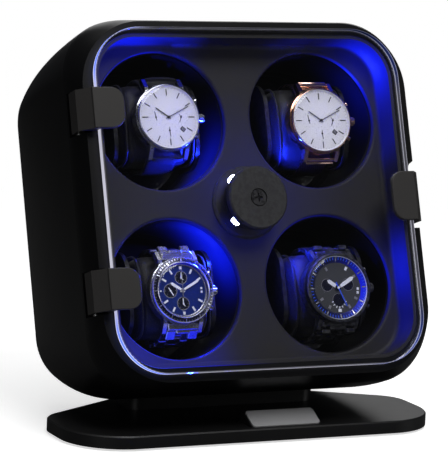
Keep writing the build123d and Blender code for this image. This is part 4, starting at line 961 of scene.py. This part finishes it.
# ------------------------------------------------------------------
# Cushions: cloth simulated pillows inside each holder
# ------------------------------------------------------------------
def cushion(k, strap_w):
    a, b = PAD[k]
    co = np.array([v.co for v in nodes["cushion_" + k].data.vertices], float)
    rel = (co - np.array(MID)) * 1000
    ca, cb, cd = rel @ np.array(AA), rel @ np.array(AU), rel @ np.array(AN)
    ha, hb, hd = (np.ptp(ca)) / 2, np.ptp(cb) / 2, np.ptp(cd) / 2
    md = (cd.max() + cd.min()) / 2
    bm = bmesh.new()
    # rounded block, slightly smaller than the room it has
    rings = []
    n_s, r0 = 48, 15.5
    for i in range(25):
        x = -1 + 2 * i / 24
        end = 1 - max(0.0, (abs(x) - 0.72) / 0.28) ** 2.2 * 0.28
        hb_, hd_ = (hb - 1.6) * end, (hd - 1.6) * end
        ring = []
        for j in range(n_s):
            t = 2 * math.pi * j / n_s
            e = 0.62
            y = math.copysign(abs(math.cos(t)) ** e, math.cos(t)) * hb_
            z = math.copysign(abs(math.sin(t)) ** e, math.sin(t)) * hd_
            ring.append(bm.verts.new((a + x * (ha - 1.4), b + y, md + z)))
        rings.append(ring)
    ring_faces(bm, rings)
    for ring, x in ((rings[0], -1), (rings[-1], 1)):
        f = bm.faces.new(ring)
    bmesh.ops.recalc_face_normals(bm, faces=bm.faces[:])
    bm.transform(Matrix.Diagonal((0.001, 0.001, 0.001, 1.0)))
    data = bpy.data.meshes.new("cushion_work")
    bm.to_mesh(data)
    bm.free()
    o = bpy.data.objects.new("pad_" + k, data)
    bpy.context.scene.collection.objects.link(o)
    bpy.context.view_layer.objects.active = o
    o.select_set(True)
    rm = o.modifiers.new("r", "REMESH")
    rm.mode = "VOXEL"
    rm.voxel_size = 0.0034
    bpy.ops.object.modifier_apply(modifier="r")
    rest = np.array([v.co for v in o.data.vertices], float)
    cl = o.modifiers.new("c", "CLOTH")
    st = cl.settings
    st.quality = 6
    st.mass = 0.3
    st.use_pressure = True
    st.uniform_pressure_force = 4.0
    st.tension_stiffness = st.compression_stiffness = 12.0
    st.shear_stiffness = 6.0
    st.bending_stiffness = 1.2
    st.effector_weights.gravity = 0.0
    cl.collision_settings.use_collision = False
    cl.point_cache.frame_start, cl.point_cache.frame_end = 1, 20
    for f in range(1, 21):
        bpy.context.scene.frame_set(f)
    dg = bpy.context.evaluated_depsgraph_get()
    ev = o.evaluated_get(dg)
    new = np.array([v.co for v in ev.data.vertices], float)
    o.modifiers.remove(cl)
    bpy.context.scene.frame_set(1)
    move = new - rest
    ln = np.linalg.norm(move, axis=1)
    cap = 0.0016
    k_ = np.minimum(1.0, cap / np.maximum(ln, 1e-9))
    new = rest + move * k_[:, None]
    # keep inside the holder and under the strap
    x = new[:, 0] * 1000 - a
    y = new[:, 1] * 1000 - b
    z = new[:, 2] * 1000 - md
    x = np.clip(x, -(ha - 0.15), ha - 0.15)
    under = np.clip(((strap_w / 2 + 2.5) - np.abs(x)) / 2.5, 0, 1)
    lim_b, lim_d = (hb - 0.25) - under * 0.5, (hd - 0.25) - under * 0.5
    rr = ((np.abs(y) / lim_b) ** 4 + (np.abs(z) / lim_d) ** 4) ** 0.25
    k2 = np.where(rr > 1, 1 / np.maximum(rr, 1e-6), 1.0)
    y, z = y * k2, z * k2
    # wrinkles drawn in by the seams at both ends and by the band
    rng = np.sin(np.arctan2(y, z) * 13.0 + 1.3 * np.sin(x * 0.3 + a)) * 0.5 + np.sin(np.arctan2(y, z) * 29.0 + 0.7 * b) * 0.25
    pull = np.exp(-((np.abs(x) - (strap_w / 2 + 3.0)) / 2.2) ** 2) + 0.8 * np.exp(-((np.abs(x) - (ha - 3.5)) / 1.8) ** 2)
    k3 = 1 - 0.012 * (1 + rng) * pull
    y, z = y * k3, z * k3
    out = np.stack([(a + x), (b + y), (md + z)], 1)
    world = np.array([list(BOX @ Vector(p)) for p in out], np.float32)
    o.data.vertices.foreach_set("co", world.ravel())
    o.data.update()
    sub = o.modifiers.new("s", "SUBSURF")
    sub.levels = sub.render_levels = 1
    bpy.ops.object.modifier_apply(modifier="s")
    o.select_set(False)
    o.data.materials.clear()
    o.data.materials.append(MATS["cushion"])
    o.data.polygons.foreach_set("use_smooth", [True] * len(o.data.polygons))
    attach(o, "rotor_" + k)
    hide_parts("cushion_" + k)
    # piped seams round both ends
    bm = bmesh.new()
    for sgn in (-1, 1):
        path = []
        for j in range(72):
            t = 2 * math.pi * j / 72
            y = math.copysign(abs(math.cos(t)) ** 0.62, math.cos(t)) * (hb - 1.9)
            z = math.copysign(abs(math.sin(t)) ** 0.62, math.sin(t)) * (hd - 1.9)
            path.append((a + sgn * (ha - 2.6), b + y, md + z))
        tube(bm, path, 0.75, 8, True, 0, up=Vector((1, 0, 0)))
    make("piping_" + k, bm, "rotor_" + k, ["cushion"])


for k, w in (("upper_left", 20), ("upper_right", 18), ("lower_left", 20), ("lower_right", 22)):
    cushion(k, w)

# ------------------------------------------------------------------
# Stage, light, camera
# ------------------------------------------------------------------
bm = bmesh.new()
seg = 64
rings = [[bm.verts.new((r * math.cos(2 * math.pi * i / seg), r * math.sin(2 * math.pi * i / seg), 0)) for i in range(seg)] for r in (150.0, 400.0, 1200.0, 3000.0)]
ring_faces(bm, rings)
bm.faces.new(rings[0])
bmesh.ops.recalc_face_normals(bm, faces=bm.faces[:])
bm.transform(WORLD)
data = bpy.data.meshes.new("floor")
bm.to_mesh(data)
bm.free()
floor = bpy.data.objects.new("floor", data)
floor.location.z = -0.00002
bpy.context.scene.collection.objects.link(floor)
m = Mat("floor")
rel = m.vmath("LENGTH", m.coords())
fade = m.ramp(rel, 0.25, 1.0)
lp = m.n("ShaderNodeLightPath")
cam_ray = lp.outputs["Is Camera Ray"]
speck = m.noise(300.0, 4.0)
tone = m.mix(speck, (0.93, 0.93, 0.93), (0.95, 0.95, 0.95))
diff = m.n("ShaderNodeBsdfDiffuse", None, {"Color": tone}).outputs[0]
white = m.n("ShaderNodeEmission", None, {"Color": (1, 1, 1), "Strength": 1.0}).outputs[0]
lift = m.n("ShaderNodeEmission", None, {"Color": (1, 1, 1), "Strength": 0.62}).outputs[0]
near = m.n("ShaderNodeAddShader", None, {0: diff, 1: lift}).outputs[0]
seen = m.n("ShaderNodeMixShader", None, {0: fade, 1: near, 2: white}).outputs[0]
other = m.n("ShaderNodeBsdfDiffuse", None, {"Color": (0.10, 0.10, 0.10)}).outputs[0]
data.materials.append(m.finish(m.n("ShaderNodeMixShader", None, {0: cam_ray, 1: other, 2: seen}).outputs[0]))

world = bpy.data.worlds.new("studio")
bpy.context.scene.world = world
world.use_nodes = True
wt = world.node_tree
wt.nodes.clear()
wo = wt.nodes.new("ShaderNodeOutputWorld")
b0, b1 = wt.nodes.new("ShaderNodeBackground"), wt.nodes.new("ShaderNodeBackground")
b0.inputs[0].default_value = (0.9, 0.93, 1.0, 1)
b0.inputs[1].default_value = 0.035
b1.inputs[0].default_value = (1, 1, 1, 1)
b1.inputs[1].default_value = 1.0
wl, wm = wt.nodes.new("ShaderNodeLightPath"), wt.nodes.new("ShaderNodeMixShader")
wt.links.new(wl.outputs["Is Camera Ray"], wm.inputs[0])
wt.links.new(b0.outputs[0], wm.inputs[1])
wt.links.new(b1.outputs[0], wm.inputs[2])
wt.links.new(wm.outputs[0], wo.inputs[0])


def area(name, loc, target, size, power, colour=(1, 1, 1), size_y=None, spread=180.0, cast=True):
    L = bpy.data.lights.new(name, "AREA")
    L.shape = "RECTANGLE"
    L.size, L.size_y = size, size_y or size
    L.energy, L.color = power, colour
    L.spread = math.radians(spread)
    o = bpy.data.objects.new(name, L)
    bpy.context.scene.collection.objects.link(o)
    o.location = Vector(loc)
    o.rotation_mode = "QUATERNION"
    o.rotation_quaternion = (Vector(target) - Vector(loc)).to_track_quat("-Z", "Y")
    return o


area("key", (0.10, -0.75, 1.25), (0, 0, 0.12), 0.6, 9.0)
area("fill", (1.15, -0.75, 0.15), (0, 0, 0.13), 0.5, 2.2)
area("top", (0.0, 0.15, 1.3), (0, 0, 0.0), 1.0, 5.0)
area("side", (-0.95, -0.80, 0.35), (-0.1, 0, 0.15), 0.5, 1.6)
area("rear", (0.45, 1.15, 0.75), (0, 0.1, 0.12), 0.8, 2.6)


def spot(name, pos, target, power, colour, deg=70.0, blend=0.6, r=0.002):
    L = bpy.data.lights.new(name, "SPOT")
    L.energy, L.color, L.spot_size, L.spot_blend, L.shadow_soft_size = power, colour, math.radians(deg), blend, r
    o = bpy.data.objects.new(name, L)
    bpy.context.scene.collection.objects.link(o)
    o.location = pos
    o.rotation_mode = "QUATERNION"
    o.rotation_quaternion = (target - pos).to_track_quat("-Z", "Y")
    return o


BLUE = (0.004, 0.016, 1.0)
LAMP = {"upper_left": (1.3, 0.8), "upper_right": (0.55, 0.5), "lower_left": (1.5, 1.0), "lower_right": (0.45, 0.35)}
for k in NAMES:
    sa, sb = (1 if SEAT[k][0] > 0 else -1), (1 if SEAT[k][1] > 0 else -1)
    wide, core = LAMP[k]
    spot("lamp_" + k, P(sa * 14.5, sb * 14.5, 10.2), P(sa * 66, sb * 66, 0.0), wide, BLUE, 88.0)
    spot("lamp_core_" + k, P(sa * 14.5, sb * 14.5, 10.2), P(sa * 50, sb * 50, -6.0), core, (0.01, 0.03, 1.0), 50.0)

# camera, turned and raised as the object was seen
az, el, roll = math.radians(-25.6976), math.radians(8.6097), math.radians(2.6631)
back = Vector((math.sin(az) * math.cos(el), -math.cos(az) * math.cos(el), math.sin(el)))
fwd = -back
right = fwd.cross(Vector((0, 0, 1))).normalized()
upv = right.cross(fwd).normalized()
r2 = right * math.cos(roll) + upv * math.sin(roll)
u2 = upv * math.cos(roll) - right * math.sin(roll)
cam_data = bpy.data.cameras.new("camera")
cam_data.lens, cam_data.sensor_width, cam_data.sensor_fit = 206.26, 36.0, "AUTO"
cam_data.clip_start, cam_data.clip_end = 0.05, 50.0
cam = bpy.data.objects.new("camera", cam_data)
bpy.context.scene.collection.objects.link(cam)
mw = Matrix((r2, u2, back)).transposed().to_4x4()
mw.translation = MID - (r2 * 0.012907 + u2 * 0.018672 + fwd * 1.59241)
cam.matrix_world = mw
bpy.context.scene.camera = cam

sc = bpy.context.scene
sc.view_settings.view_transform = "Standard"
sc.view_settings.look = "None"
sc.cycles.use_denoising = True
sc.cycles.sample_clamp_indirect = 6.0
sc.cycles.max_bounces = 10
sc.cycles.transparent_max_bounces = 24
